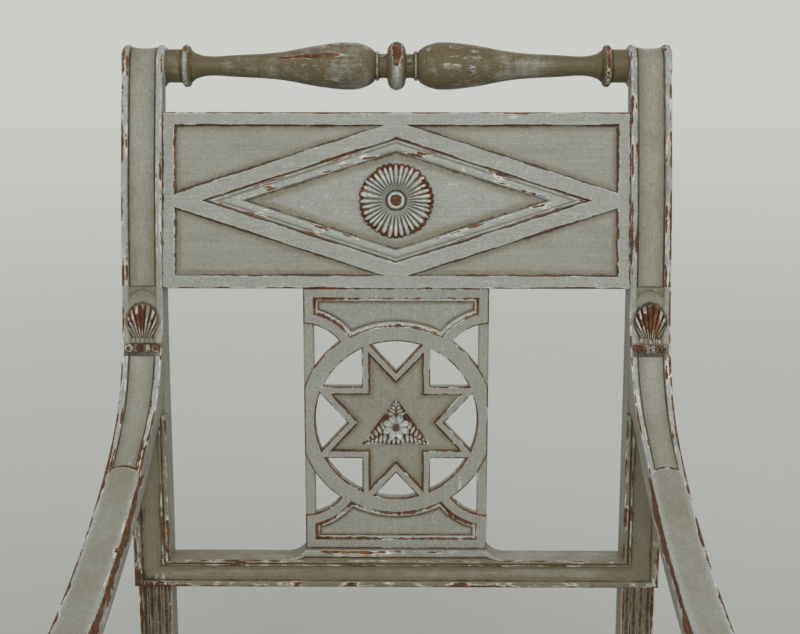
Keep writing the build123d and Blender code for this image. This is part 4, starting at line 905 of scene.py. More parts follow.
def post_shell():
    """Right post: swept leg, block at the seat, fluted leg, mitred frame, strap and roll, bottom to top."""
    shell = Shell()
    top_block = SEAT_TOP + LEDGE_DEPTH
    leg_width = POST_WIDTH - LEG_STEP
    frame_width = POST_WIDTH - FRAME_STEP
    heel_y = CAD_BOX[1][1] / MM
    plain = bar_ring(PLAIN_ROWS)

    def bar(ring, origin, width, thickness):
        """A section carried along, with its front towards the front of the chair."""
        moulded_bar(shell, ring, origin, (1, 0, 0), (0, 1, 0), width, thickness)

    def upright(ring, low, high, width, front_y, count):
        """A bar from one height to another, from a flat front to the post's back."""
        z = np.linspace(low, high, count)
        bar(ring, stations(POST_INNER, front_y, z), width, back_at(z) - front_y)

    def swept(z, top_y, foot_y):
        """Arc of a circle that is upright at the block and reaches the foot's place at the floor."""
        run = foot_y - top_y
        radius = (run**2 + BLOCK_Z**2) / (2 * run)
        return top_y + radius - np.sqrt(radius**2 - (BLOCK_Z - z) ** 2)

    # Leg, which tapers as it sweeps back, block and fluted leg
    z = np.linspace(0.0, BLOCK_Z, 40)
    rise = z / BLOCK_Z
    foot_inner, foot_outer = POST_MIDDLE - FOOT_HALF_WIDTH, POST_MIDDLE + FOOT_HALF_WIDTH
    inner = foot_inner + (POST_INNER - foot_inner) * rise
    outer = foot_outer + (POST_INNER + leg_width - foot_outer) * rise
    front = swept(z, POST_FACE, heel_y - FOOT_DEPTH)
    back = swept(z, POST_FACE + POST_DEPTH, heel_y)
    bar(plain, stations(inner, front, z), outer - inner, back - front)
    upright(plain, BLOCK_Z, top_block, POST_WIDTH, POST_FACE, 8)
    upright(bar_ring(flute_rows(4, 2.0, 0.08)), top_block, LOWER_LOW[2], leg_width, POST_FACE, 8)

    # Frame moulding, mitred round the corner: the depth follows the larger of the two shares
    rows = FRAME_ROWS.copy()
    # The frame on the post gets painted shade, as it stands under the arm
    rows[:, 3] = np.clip(rows[:, 3] + POST_FRAME_SHADE, 0, 1)
    share_across = rows[:, 0]
    upright(bar_ring(rows), RAIL_TOP_Z, ARM_JOINT_Z, frame_width, POST_FACE, 12)
    turn = np.maximum(share_across[None], share_across[:, None])
    marks = [np.interp(turn, share_across, rows[:, k]) for k in (1, 2, 3)]
    corner = np.array([bar_ring(np.stack([share_across, *row], 1)) for row in zip(*marks)])
    z = RAIL_TOP_Z - share_across * (RAIL_TOP_Z - LOWER_LOW[2])
    bar(corner, stations(POST_INNER, POST_FACE, z), frame_width, POST_DEPTH)

    # Housing of the arm, then the strap up to the roll
    upright(bar_ring(FLUSH_ROWS), ARM_JOINT_Z, ARM_TOP, POST_WIDTH, POST_FACE + ARM_HOUSING, 14)
    strap = strap_rows(POST_WIDTH)
    tip_angle = math.atan2(ROLL_Z - BEND_Z, ARC_Y - ROLL_Y)
    z = np.linspace(ARM_TOP, BEND_Z + BACK_RADIUS * math.sin(tip_angle), 48)
    front = face_at(z)
    back = np.minimum(back_at(z), ROLL_Y)
    bar(bar_ring(strap), stations(POST_INNER, front, z), POST_WIDTH, back - front)

    # Roll: the strap's section turned round the roll's axis
    profile = strap * (POST_WIDTH, -1, 1, 1) + (0, ROLL_RADIUS, 0, 0)
    ends = np.array([
        (-1.3, 0.6, 0.6, 0.0),
        (-1.2, 2.4, 0.8, 0.0),
        (-0.8, 3.4, 0.4, 0.4),
        (-0.4, 3.9, 0.0, 1.0),
        (-0.4, 4.6, 0.0, 0.6),
        (-0.4, ROLL_RADIUS - 5.4, 0.0, 0.3),
        (-0.4, ROLL_RADIUS - 4.6, 0.0, 1.0),
        (-0.9, ROLL_RADIUS - 4.1, 0.9, 0.2),
        (-1.0, ROLL_RADIUS - 3.2, 0.8, 0.0),
        (-0.9, ROLL_RADIUS - 2.2, 1.0, 0.0),
    ])
    far_ends = ends[::-1] * (-1, 1, 1, 1) + (POST_WIDTH, 0, 0, 0)
    lathe(shell, (POST_INNER, ROLL_Y, ROLL_Z), (1, 0, 0), np.vstack([ends, profile, far_ends]), 96)
    return shell


class ARMCHAIR_OT_posts(bpy.types.Operator):
    """Back posts with their straps, rolls, mitred frame and fluted legs"""

    bl_idname = "armchair.posts"
    bl_label = "Back posts"

    def execute(self, context):
        post_shell().carve_pair("back_post", "post")
        return {"FINISHED"}


# Turned top rail


def half_round(low, high, base, top, count, wear, grime_and_painted_light):
    """Rows of a half round: base + rise times the height of an ellipse over the stretch."""
    u = np.linspace(-1, 1, count)
    hill = np.sqrt(1 - u**2)
    x = (low + high) / 2 + u * (high - low) / 2
    return np.stack([x, base + (top - base) * hill, wear * hill**4, grime_and_painted_light * (1 - hill)], 1)


def rail_profile(end):
    """Lathe rows of half the rail, from its middle bead to its end: half rounds and a smooth bulb."""
    bead = half_round(-8.3, 8.3, 12.0, 21.3, 25, 1.0, 0.9)[12:]
    ridge = half_round(15.6, 18.8, 11.6, 13.1, 7, 0.85, 0.6)
    bulb = smooth_curve(
        [(19.3, 12.7), (22.5, 15.6), (28, 18.4), (35, 20.4), (43, 20.9), (57, 19.9), (78, 16.8), (99, 12.9)]
        + [(121, 10.7), (150, 9.2), (175, 9.7)],
        (0.8, 1),
        (1, 0.25),
        80,
    )
    wear = 0.5 * np.exp(-(((bulb[:, 0] - 60) / 34) ** 2))
    grime_and_painted_light = 0.4 * np.exp(-((bulb[:, 0] - 19) / 3)) + 0.25 * np.exp(-((175 - bulb[:, 0]) / 10)) + 0.1
    bulb = np.column_stack([bulb, wear, grime_and_painted_light])
    flange = half_round(183.8, 191.2, 14.7, 18.7, 13, 1.05, 0.8)
    return np.vstack([
        bead,
        [(8.6, 11.0, 0.2, 1.0), (9.4, 10.6, 0.9, 0.4), (13.6, 10.6, 0.7, 0.35), (15.2, 10.9, 0.2, 0.9)],
        ridge,
        bulb,
        [(179.5, 11.3, 0.2, 0.5), (183.0, 14.0, 0.3, 0.9)],
        flange,
        [(191.8, 14.9, 0, 1.0), (194.0, 14.6, 0.2, 0.2)],
        [(end - 1.5, 14.7, 0.2, 0.25), (end + 1.0, 14.8, 0, 1.0)],
    ])


# Chips of the rail: distance along, half length, angle from the top to the front, spread, amount
RAIL_CHIPS = (
    (-92.0, 18.0, 0.98, 0.12, 1.5),
    (-64.0, 15.0, 1.05, 0.11, 1.5),
    (52.0, 5.0, 0.62, 0.07, 1.3),
    (118.0, 6.0, 0.9, 0.10, 1.1),
    (0.0, 4.0, 0.75, 0.36, 0.8),
    (0.0, 3.4, 1.35, 0.16, 0.7),
    (-187.5, 4.0, 0.55, 0.4, 0.7),
    (187.5, 4.0, 0.5, 0.35, 0.7),
)


def rail_chips(x, angle):
    """Wear where the rail's paint is gone: a sum of patches that fade along the rail and round it."""
    return sum(
        most * np.exp(-(((x - along) / half) ** 4)) * np.exp(-(((angle - turn) / spread) ** 2))
        for along, half, turn, spread, most in RAIL_CHIPS
    )


class ARMCHAIR_OT_top_rail(bpy.types.Operator):
    """Turned rail between the rolls"""

    bl_idname = "armchair.top_rail"
    bl_label = "Turned top rail"

    def execute(self, context):
        half = rail_profile(POST_INNER)
        whole = np.vstack([half[:0:-1] * (-1, 1, 1, 1), half])
        shell = Shell()
        lathe(shell, (0, ROLL_Y, ROLL_Z), (1, 0, 0), whole, 160, rubbed=rail_chips)
        shell.carve("turned_top_rail", "turned")
        return {"FINISHED"}


# Lozenge panel and its rosette


def panel_flat():
    """The panel's front plane, leaning back with the posts."""
    centre_z = SPLAT_TOP + PANEL_HEIGHT / 2 * math.cos(PANEL_RAKE)
    centre_y = float(face_at(centre_z)) + PANEL_RECESS
    up = (0, math.sin(PANEL_RAKE), math.cos(PANEL_RAKE))
    return Flat((0, centre_y, centre_z), (1, 0, 0), up)


def rhombus(half_width, half_height):
    """Corners of a lozenge, anticlockwise from the right."""
    return np.array([(half_width, 0), (0, half_height), (-half_width, 0), (0, -half_height)], float)


def rectangle(half_width, half_height):
    """Corners of a rectangle, anticlockwise."""
    signs = np.array([(-1, -1), (1, -1), (1, 1), (-1, 1)], float)
    return signs * (half_width, half_height)


def raised_rows(sink, edge, reach):
    """Edge of a raised face: up a wall from the sunk level, over an eased edge, and on to the plain face."""
    return [
        (0.0, -sink - 0.05, 0.0, 1.0),
        (0.0, -sink, 0.0, 1.0),
        (0.0, -sink * 0.55, 1.4, 0.3),
        (edge * 0.3, -edge * 0.3, 1.15, 0.0),
        (edge, 0.0, 0.95, 0.0),
        (reach, 0.0, 0.0, 0.0),
    ]


def floor_rows(level, reach=6.0, rest=0.12):
    """A sunk field: dirt at its walls that fades towards the middle."""
    return [
        (0.0, level - 0.4, 0.0, 1.0),
        (0.0, level, 0.0, 1.0),
        (0.7, level, 0.0, 0.9),
        (reach * 0.4, level, 0.0, 0.42),
        (reach, level, 0.0, rest),
    ]


class ARMCHAIR_OT_panel(bpy.types.Operator):
    """Panel with its border, sunk fields and moulded lozenge"""

    bl_idname = "armchair.panel"
    bl_label = "Lozenge panel"

    def execute(self, context):
        sizes = context.scene.armchair_sizes
        flat = panel_flat()
        half_x, half_y = POST_INNER, PANEL_HEIGHT / 2
        border, sink, edge, reach = in_mm(sizes, "panel_border", "panel_sink", "edge", "wear_reach")
        rise, groove, field = in_mm(sizes, "lozenge_rise", "lozenge_groove", "lozenge_field")
        inner_x, inner_y = half_x - border, half_y - border
        corner_x = (rise - inner_y) / LOZENGE_SLOPE
        corner_y = rise - inner_x * LOZENGE_SLOPE
        triangle = np.array([(inner_x, inner_y), (corner_x, inner_y), (inner_x, corner_y)])
        triangles = [triangle * way for way in QUARTERS]
        outer, inner = (rhombus(size / LOZENGE_SLOPE, size) for size in (groove, field))
        outline = rectangle(half_x, half_y)
        field_level = -sink + 0.3
        shell = Shell()
        slab = [
            (2.0, -PANEL_THICKNESS, 0, 0),
            (0.8, -PANEL_THICKNESS, 0.5, 0),
            (0.0, 0.8 - PANEL_THICKNESS, 0.5, 0),
            (0.0, -sink, 0, 0),
            (1.0, -sink, 0, 0),
        ]
        plate(shell, flat, [outline], slab)
        plate(shell, flat, [outline, *triangles, outer], raised_rows(sink, edge, reach))
        for corner in triangles:
            plate(shell, flat, [corner], floor_rows(-sink + 0.1))
        bead = [
            (0.0, -sink - 0.6, 0, 1),
            (0.0, -sink + 0.2, 0, 1),
            (0.10, -1.3, 0.5, 0.3),
            (0.16, -0.75, 0.9, 0.0),
            (0.24, -0.7, 0.5, 0.0),
            (0.30, -1.15, 0.4, 0.6),
            (0.36, -1.2, 0.3, 0.5),
            (0.48, -0.75, 0.5, 0.0),
            (0.66, -0.55, 0.4, 0.0),
            (0.82, -0.9, 0.8, 0.0),
            (0.95, -1.7, 0.6, 0.2),
            (1.0, -sink + 0.2, 0, 1),
            (1.0, -sink - 0.6, 0, 1),
        ]
        ring_moulding(shell, flat, outer, inner, bead)
        plate(shell, flat, [inner], floor_rows(field_level, 8.0, 0.0))
        shell.carve("lozenge_panel", "panel", sharp=24)
        self.rosette(sizes, flat, field_level)
        return {"FINISHED"}

    def rosette(self, sizes, flat, level):
        """Petals: height is a hill along the radius times a rounded ridge along each petal's middle."""
        outer = (ROSETTE_HIGH[0] - ROSETTE_LOW[0]) / 2
        hub, rise = 9.6, 5.4
        count = sizes.petals
        angle = np.linspace(0, 2 * np.pi, count * 12, endpoint=False)[None]
        along = np.linspace(0, 1, 34)[:, None]
        wobble = 0.5 * np.sin(3 * angle + 0.7) + 0.4 * np.sin(5 * angle) + 0.25 * np.sin(9 * angle + 2)
        ridge = np.abs(np.cos(angle * count / 2 + wobble))
        reach = outer - 1.7 * (1 - ridge) ** 1.5 + 0.35 * np.sin(7 * angle + 1)
        radius = hub + (reach - hub) * along
        hill = np.sqrt(np.clip(1 - (np.clip(along - 0.55, 0, 1) / 0.45) ** 3, 0, 1)) * bump(along, -0.1, 0.35)
        height = level + 0.3 + rise * hill * (0.52 + 0.48 * ridge**0.8)
        x, y = radius * np.cos(angle), radius * np.sin(angle)
        valley = (1 - ridge) ** 1.2
        uneven = 0.7 + 0.3 * np.sin(4 * angle + 1.3) * np.sin(11 * angle)
        wear = (0.35 + 0.9 * valley) * bump(along, 0.3, 0.8) + 1.1 * bump(along, 0.75, 0.92) * uneven
        # white: paint rubbed white on the ridges, and also a painted highlight along them
        white = 1.15 * ridge**4 * bump(along, 0.15, 0.45) * bump(1.0 - along, 0.02, 0.25) * uneven
        grime_and_painted_light = np.clip(valley * 0.55 * bump(along, 0.05, 0.3) + 0.7 * (along > 0.97), 0, 1) - white
        skirt = flat.at(x[-1:], y[-1:], level - 1.0)
        shell = Shell()
        net = np.concatenate([flat.at(x[:1], y[:1], height[:1] - 4), flat.at(x, y, height), skirt])
        wear = np.vstack([wear[:1] * 0, wear, wear[:1] * 0])
        grime_and_painted_light = np.vstack([grime_and_painted_light[:1] * 0 + 1, grime_and_painted_light, grime_and_painted_light[:1] * 0 + 1])
        shell.grid(net, wear, grime_and_painted_light, loop_columns=True, cap=True)
        # The boss's shoulder goes below 0 in grime_and_painted_light: rubbed white and a painted highlight
        boss = np.array([
            (-1.0, 9.9, 0, 1),
            (1.4, 9.7, 0, 1),
            (1.5, 8.4, 0, 0.8),
            (3.6, 7.7, 0.3, 0.1),
            (5.0, 6.9, 0.4, -0.5),
            (5.2, 5.8, 0.5, -0.7),
            (4.9, 5.2, 0.6, -0.6),
            (5.0, 4.8, 1.9, 0.2),
            (5.9, 2.8, 2.0, 0),
            (6.2, 0.6, 2.0, 0),
        ])
        lathe(shell, flat.origin, flat.out, boss + (level, 0, 0, 0), 40)
        shell.carve("panel_rosette", "panel", sharp=50)


# Pierced splat and its leaf spray


def meet(radius, centre, other):
    """Upper crossing of a circle about the origin with a circle about a centre."""
    far = math.hypot(*centre)
    along = (far**2 + radius**2 - other**2) / (2 * far)
    up = math.sqrt(radius**2 - along**2)
    toward = np.array(centre) / far
    return along * toward + up * np.array([-toward[1], toward[0]])


def angle_of(point, centre=(0.0, 0.0)):
    """Direction of a point from a centre."""
    return math.atan2(point[1] - centre[1], point[0] - centre[0])


def four_ways(quarter):
    """A closed outline from its first quarter, mirrored both ways."""
    quarter = np.asarray(quarter)
    return np.vstack([quarter, quarter[::-1] * (-1, 1), -quarter, quarter[::-1] * (1, -1)])


class SplatDrawing:
    """Outlines of the splat: ring and star, brackets in the corners, tablets above and below."""

    def __init__(self, sizes):
        self.half_x = (SPLAT_HIGH[0] - SPLAT_LOW[0]) / 2
        self.half_y = (SPLAT_TOP - SPLAT_BOTTOM) / 2
        self.ring, self.hole = in_mm(sizes, "ring_outer", "ring_inner")
        self.tip, self.field = in_mm(sizes, "star_tip", "star_field")
        self.bracket = (84.7, 44.6)
        self.bracket_out = 54.5
        self.bracket_in = 44.5
        self.strip = self.half_x - 9.0
        self.tablet_x = self.half_x - 10.0
        self.tablet_y = self.half_y - 9.5
        self.lip = -1.0

    def star(self, tip):
        """Corners of a star of eight long points, stretched upright and lowered."""
        k = np.arange(8)[:, None]
        dip = tip * math.cos(3 * math.pi / 8) / math.cos(2 * math.pi / 8)
        turn = (k + [[0.5, 1.0]]) * math.pi / 4
        radius = np.array([[tip, dip]])
        corners = np.stack([radius * np.cos(turn), radius * np.sin(turn)], -1).reshape(-1, 2)
        return corners * (1, STAR_STRETCH) - (0, STAR_DROP)

    def gap(self, k):
        """Hole between two points of the star: its edges run on to the ring's inner circle."""
        corners = self.star(self.tip)
        first, dip, last = (corners[(2 * k + j) % 16] for j in range(3))
        ends = []
        for tip in (first, last):
            way = tip - dip
            half_b = dip @ way
            root = math.sqrt(half_b**2 - way @ way * (dip @ dip - self.hole**2))
            ends.append(dip + way * (-half_b + root) / (way @ way))
        start, stop = angle_of(ends[1]), angle_of(ends[0])
        stop = start - (start - stop) % (2 * math.pi)
        rim = arc((0, 0), self.hole, start, stop, 18)
        return np.vstack([[dip], rim])

    def rim(self, radius, first, last, count):
        """Arc about the ring's centre from one point's direction to another's."""
        return arc((0, 0), radius, angle_of(first), angle_of(last), count)

    def hook(self, radius, first, last, count):
        """Arc about the bracket's centre from one point's direction to another's."""
        return arc(self.bracket, radius, angle_of(first, self.bracket), angle_of(last, self.bracket), count)

    def hook_end(self, radius, x):
        """Upper point of a circle about the bracket's centre, at a distance from the middle."""
        return (x, self.bracket[1] + math.sqrt(radius**2 - (self.bracket[0] - x) ** 2))

    def rim_end(self, x):
        """Upper point of the ring's outside, at a distance from the middle."""
        return (x, math.sqrt(self.ring**2 - x**2))

    def outline(self):
        """Raised face: the ring's flat sides, arcs to the brackets, and the brackets out to the edge."""
        cross = meet(self.ring, self.bracket, self.bracket_in)
        end = self.hook_end(self.bracket_in, self.half_x)
        rim = self.rim(self.ring, self.rim_end(self.half_x), cross, 16)
        hook = self.hook(self.bracket_in, cross, end, 14)
        return four_ways(np.vstack([rim, hook[1:], [(self.half_x, self.half_y)]]))

    def tablet(self, way, inset=0.0):
        """Sunk tablet between the top edge, the brackets and the ring, moved in by an inset."""
        radius = self.ring + self.lip + inset
        side_x = self.tablet_x - 0.8 * inset
        bracket_out = self.bracket_out + inset
        cross = meet(radius, self.bracket, bracket_out)
        hook = self.hook(bracket_out, self.hook_end(bracket_out, side_x), cross, 10)
        rim = self.rim(radius, cross, (0, radius), 12)
        half = np.vstack([[(side_x, self.tablet_y - 0.7 * inset)], hook, rim[1:-1]])
        loop = np.vstack([half, [(0, radius)], half[::-1] * (-1, 1)])
        return loop * (1, way)

    def corner(self):
        """Hole between the bracket, the ring and the side strip, at the upper right."""
        cross = meet(self.ring, self.bracket, self.bracket_in)
        rim = self.rim(self.ring, self.rim_end(self.strip), cross, 12)
        hook = self.hook(self.bracket_in, cross, self.hook_end(self.bracket_in, self.strip), 10)
        return np.vstack([rim, hook[1:]])


def splat_flat():
    """The splat's front plane, upright."""
    return Flat((0, SPLAT_LOW[1], (SPLAT_TOP + SPLAT_BOTTOM) / 2), (1, 0, 0), (0, 0, 1))


class ARMCHAIR_OT_splat(bpy.types.Operator):
    """Pierced splat with its ring, star, brackets and tablets"""

    bl_idname = "armchair.splat"
    bl_label = "Pierced splat"

    def execute(self, context):
        sizes = context.scene.armchair_sizes
        flat = splat_flat()
        draw = SplatDrawing(sizes)
        thick = SPLAT_HIGH[1] - SPLAT_LOW[1]
        sink, edge, reach = in_mm(sizes, "splat_sink", "edge", "wear_reach")
        level = 0.1 - sink
        gaps = [draw.gap(k) for k in range(8)]
        corners = [draw.corner() * way for way in QUARTERS]
        tablets = [draw.tablet(way) for way in (-1, 1)]
        star = draw.star(draw.field)
        shell = Shell()
        back = [
            (1.5, -thick, 0, 0),
            (0.5, -thick, 0.6, 0),
            (0.0, 0.5 - thick, 0.6, 0),
            (0.0, -sink, 0.2, 0.5),
            (0.7, -sink, 0.3, 0.25),
            (1.5, -sink, 0, 0),
        ]
        plate(shell, flat, [rectangle(draw.half_x, draw.half_y), *gaps, *corners], back)
        face = raised_rows(sink, edge, min(reach, 1.5))
        plate(shell, flat, [draw.outline(), *gaps, *tablets, star], face)
        plate(shell, flat, [star], floor_rows(level, 5.0))
        # The slope's crest goes below 0 in grime_and_painted_light: rubbed white and a painted highlight
        # along the tablet's edge
        slope = [
            (0.0, -sink - 0.5, 0.0, 1.0),
            (0.0, -0.9, 0.5, 0.9),
            (0.10, -0.8, 0.9, 0.4),
            (0.30, -0.55, 0.95, -0.3),
            (0.60, -0.75, 0.5, -0.15),
            (0.85, -1.3, 0.4, 0.2),
            (1.0, level, 0.0, 0.9),
            (1.0, -sink - 0.5, 0.0, 1.0),
        ]
        for way, tablet in zip((-1, 1), tablets):
            inner = draw.tablet(way, 4.0)
            ring_moulding(shell, flat, tablet, inner, slope)
            plate(shell, flat, [inner], floor_rows(level, 3.0, 0.0))
        shell.carve("pierced_splat", "splat", sharp=24)
        self.spray(flat, level)
        return {"FINISHED"}

    def spray(self, flat, level):
        """Leaves: each is a pointed oval, high along its middle, curling up at the tip, as are the petals."""
        shell = Shell()
        u = np.linspace(0, 1, 9)[:, None]
        v = np.linspace(-1, 1, 9)[None]

        def leaf(base, tip, width, height):
            """Half as wide as a sine along the leaf; an arch across it, less a crease in the middle."""
            base, tip = np.asarray(base, float), np.asarray(tip, float)
            way = tip - base
            side = np.array([-way[1], way[0]]) / np.linalg.norm(way)
            half = width / 2 * np.sin(np.pi * np.clip(0.06 + 0.92 * u, 0, 1)) ** 0.75
            x = base[0] + way[0] * u + side[0] * half * v
            y = base[1] + way[1] * u + side[1] * half * v
            rise = height * (0.35 + 0.65 * u) * (1 - v**2) ** 0.6 * np.ones_like(u)
            crease = 0.35 * height * np.exp(-((v / 0.22) ** 2)) * u
            top = flat.at(x, y, level + rise - crease)
            bottom = flat.at(x, y, level - 0.3)
            net = np.concatenate([top, bottom[:, ::-1]], 1)
            wear = np.concatenate([(1 - v**2) * u * 0.6, 0 * x], 1)
            # shade is painted shade at the leaf's sides and, below 0, a painted highlight along its middle
            shade = np.abs(v) ** 2 - 0.75 * (1 - v**2) * (0.5 + 0.5 * u)
            grime_and_painted_light = np.concatenate([shade, 0 * x + 1], 1)
            shell.grid(net, wear, grime_and_painted_light, loop_columns=True, cap=True)

        flower = np.array([0.0, -6.2])
        ground = np.array([(-31.0, -22.4), (31.0, -22.4), (0.0, 20.5)])
        # The ground's rim goes below 0 in grime_and_painted_light: rubbed white and a painted highlight on
        # its crest
        rim = [(0.0, level - 0.5, 0.9, 0.6), (0.1, level + 1.1, 0.9, -0.3), (0.9, level + 1.1, 0.9, -0.3)]
        plate(shell, flat, [ground], rim + [(1.5, level + 0.2, 1.2, 0.7), (2.4, level + 0.2, 1.35, 0.5)])
        for k in range(8):
            turn = 2 * math.pi * (k + 0.5) / 8
            out = np.array([math.cos(turn), math.sin(turn)])
            leaf(flower + 2.6 * out, flower + 12.4 * out, 9.4, 5.2)
        for side in (-1, 1):
            for k in range(5):
                root = np.array([side * (9.6 + 3.6 * k), -10.5 - 2.2 * k])
                tip = root + (10.0 - 1.6 * k) * np.array([side * 0.42, 0.9])
                leaf(root, tip, 4.6 - 0.35 * k, 4.2 - 0.3 * k)
                foot = np.array([side * (10.6 + 4.0 * k), -21.6])
                leaf(root + (0.0, -1.2), foot, 4.4 - 0.4 * k, 4.0 - 0.3 * k)
            for k in range(4):
                root = np.array([side * 0.8, 3.4 + 3.6 * k])
                leaf(root, root + (8.4 - 2.0 * k) * np.array([side * 0.85, 0.5]), 4.0, 4.0 - 0.4 * k)
        leaf((0.0, 12.0), (0.0, 20.0), 3.6, 3.6)
        for x in (-6.8, -2.3, 2.3, 6.8):
            leaf((x * 0.8, -16.0), (x, -22.0), 4.4, 3.6)
        boss = np.array([
            (-0.3, 3.4, 0, 1),
            (4.0, 3.2, 0, 1),
            (5.0, 2.6, 1.6, 0),
            (5.7, 1.6, 1.6, 0),
            (5.9, 0.3, 1.6, 0),
        ])
        lathe(shell, flat.at(*flower, 0.0), flat.out, boss + (level, 0, 0, 0), 24)
        shell.carve("star_leaf_spray", "splat", sharp=50)


# Lower back rail


class ARMCHAIR_OT_lower_rail(bpy.types.Operator):
    """Lower back rail: the frame's moulding laid level, and the platform under the splat"""

    bl_idname = "armchair.lower_rail"
    bl_label = "Lower back rail"

    def execute(self, context):
        shell = Shell()
        depth = LOWER_HIGH[1] - LOWER_LOW[1]

        def bar(ring, x, top, width):
            """A section laid level, with its top at each place's height."""
            origin = stations(x, POST_FACE, top)
            moulded_bar(shell, ring, origin, (0, 0, -1), (0, 1, 0), width, depth)

        x = np.linspace(-POST_INNER, POST_INNER, 30)
        bar(bar_ring(FRAME_ROWS), x, RAIL_TOP_Z, RAIL_TOP_Z - LOWER_LOW[2])

        # Platform: its height follows a hollow curve at each end
        half = (SPLAT_HIGH[0] - SPLAT_LOW[0]) / 2
        out = np.linspace(0, 1, 14)
        ends = half + PLATFORM_SPREAD * out
        fall = (1 - out) ** 2.2 * (1 - 0.06) + 0.06
        x = np.concatenate([-ends[::-1], np.linspace(-half, half, 24)[1:-1], ends])
        rise = PLATFORM_HEIGHT * np.concatenate([fall[::-1], np.ones(22), fall])
        rows = [
            (0.0, 1.6, 0.6, 0.0),
            (0.06, 0.5, 1.0, 0.0),
            (0.16, 0.1, 1.0, 0.0),
            (0.40, 0.0, 0.6, 0.0),
            (0.58, 0.35, 0.8, 0.1),
            (0.66, 1.9, 0.0, 1.0),
            (0.74, 1.9, 0.0, 1.0),
            (0.80, 1.0, 0.5, 0.3),
            (1.0, 0.9, 0.3, 0.6),
        ]
        bar(bar_ring(rows, 2.0), x, RAIL_TOP_Z + rise, rise + 1.0)
        shell.carve("lower_back_rail", "rail")
        return {"FINISHED"}


# Arms


def arm_places(*steps):
    """Places in the arm's side plane, each given as a way out from the post and a drop from the arm's top."""
    return [(POST_FACE - out, ARM_TOP - drop) for out, drop in steps]


class ArmDrawing:
    """The right arm's top and underside curves, in its side plane, by distance down its top."""

    def __init__(self):
        roll_y, roll_top = ARM_LOW[1] + ARM_ROLL_RADIUS, ARM_TOP - ARM_ROLL_DROP
        self.roll = (roll_y, roll_top - ARM_ROLL_RADIUS)
        start = (float(face_at(ARM_TOP)), ARM_TOP)
        top = [start, *arm_places((26.0, 95.0), (110.0, 150.0), (230.0, 188.0)), (roll_y, roll_top)]
        self.top = smooth_curve(top, (-0.09, -1), (-1, -0.06), 400)
        self.run = run_length(self.top)
        self.length = self.run[-1]
        support_y = (SUPPORT_LOW[1] + SUPPORT_HIGH[1]) / 2
        seat_back, seat_front = support_y + ARM_SEAT_HALF, support_y - ARM_SEAT_HALF
        bends = arm_places((90.0, 166.0), (200.0, 204.0))
        under = [(POST_FACE, ARM_JOINT_Z), *bends, (seat_back, ARM_SEAT_Z)]
        housed = POST_FACE + ARM_HOUSING - 0.5
        self.under = np.vstack([
            [(housed, ARM_TOP), (housed, ARM_JOINT_Z + 1.0)],
            smooth_curve(under, (-1, -0.8), (-1, -0.15), 300),
            [(seat_front, ARM_SEAT_Z), self.roll],
        ])
        self.reach = run_length(self.under)
        neck = (150.0, self.reach[2] + 18.0)
        self.match = np.array([(0.0, 0.0), (ARM_JOINT_DROP, 112.0), neck, (self.length, self.reach[-1])])

    def at(self, s):
        """Places on the top and underside for distances down the top."""
        top = np.stack([np.interp(s, self.run, self.top[:, k]) for k in (0, 1)], -1)
        r = np.interp(s, self.match[:, 0], self.match[:, 1])
        under = np.stack([np.interp(r, self.reach, self.under[:, k]) for k in (0, 1)], -1)
        return top, under

    def sides(self, top_y):
        """Inner and outer edge: as wide as the post at the joint, narrower from a hand's width on."""
        slim = bump(POST_FACE - top_y, -9.0, 80.0)
        inner = POST_INNER + (ARM_MIDDLE - ARM_HALF_WIDTH - POST_INNER) * slim
        outer = POST_OUTER + (ARM_MIDDLE + ARM_HALF_WIDTH - POST_OUTER) * slim
        return inner, outer

    def carry(self, shell, ring, s, shift=0.0):
        """Carry a section down the arm: top + (depth + share thickness) times the way to the underside.

        shift moves each column along by its own distance.
        """
        ring = np.broadcast_to(ring, (len(s),) + np.shape(ring)[-2:])
        place = np.broadcast_to(s[:, None], ring.shape[:2]) + shift
        top, under = self.at(place)
        inner, outer = self.sides(top[..., 0])
        way = under - top
        thick = np.linalg.norm(way, axis=-1)
        way = way / thick[..., None]
        depth = ring[:, :, 2] + ring[:, :, 3] * thick
        x = inner + ring[:, :, 0] * (outer - inner) + ring[:, :, 1]
        points = np.stack([x, top[..., 0] + way[..., 0] * depth, top[..., 1] + way[..., 1] * depth], -1)
        shell.grid(points, ring[:, :, 4], ring[:, :, 5], loop_columns=True, cap=True)


def housed_ring(rows):
    """Section of the part of the arm that is let into the post: its back corners are square and unworn."""
    ring = bar_ring(rows, edge=0.02)
    ring[len(rows) :, 4] = 0.0
    return ring


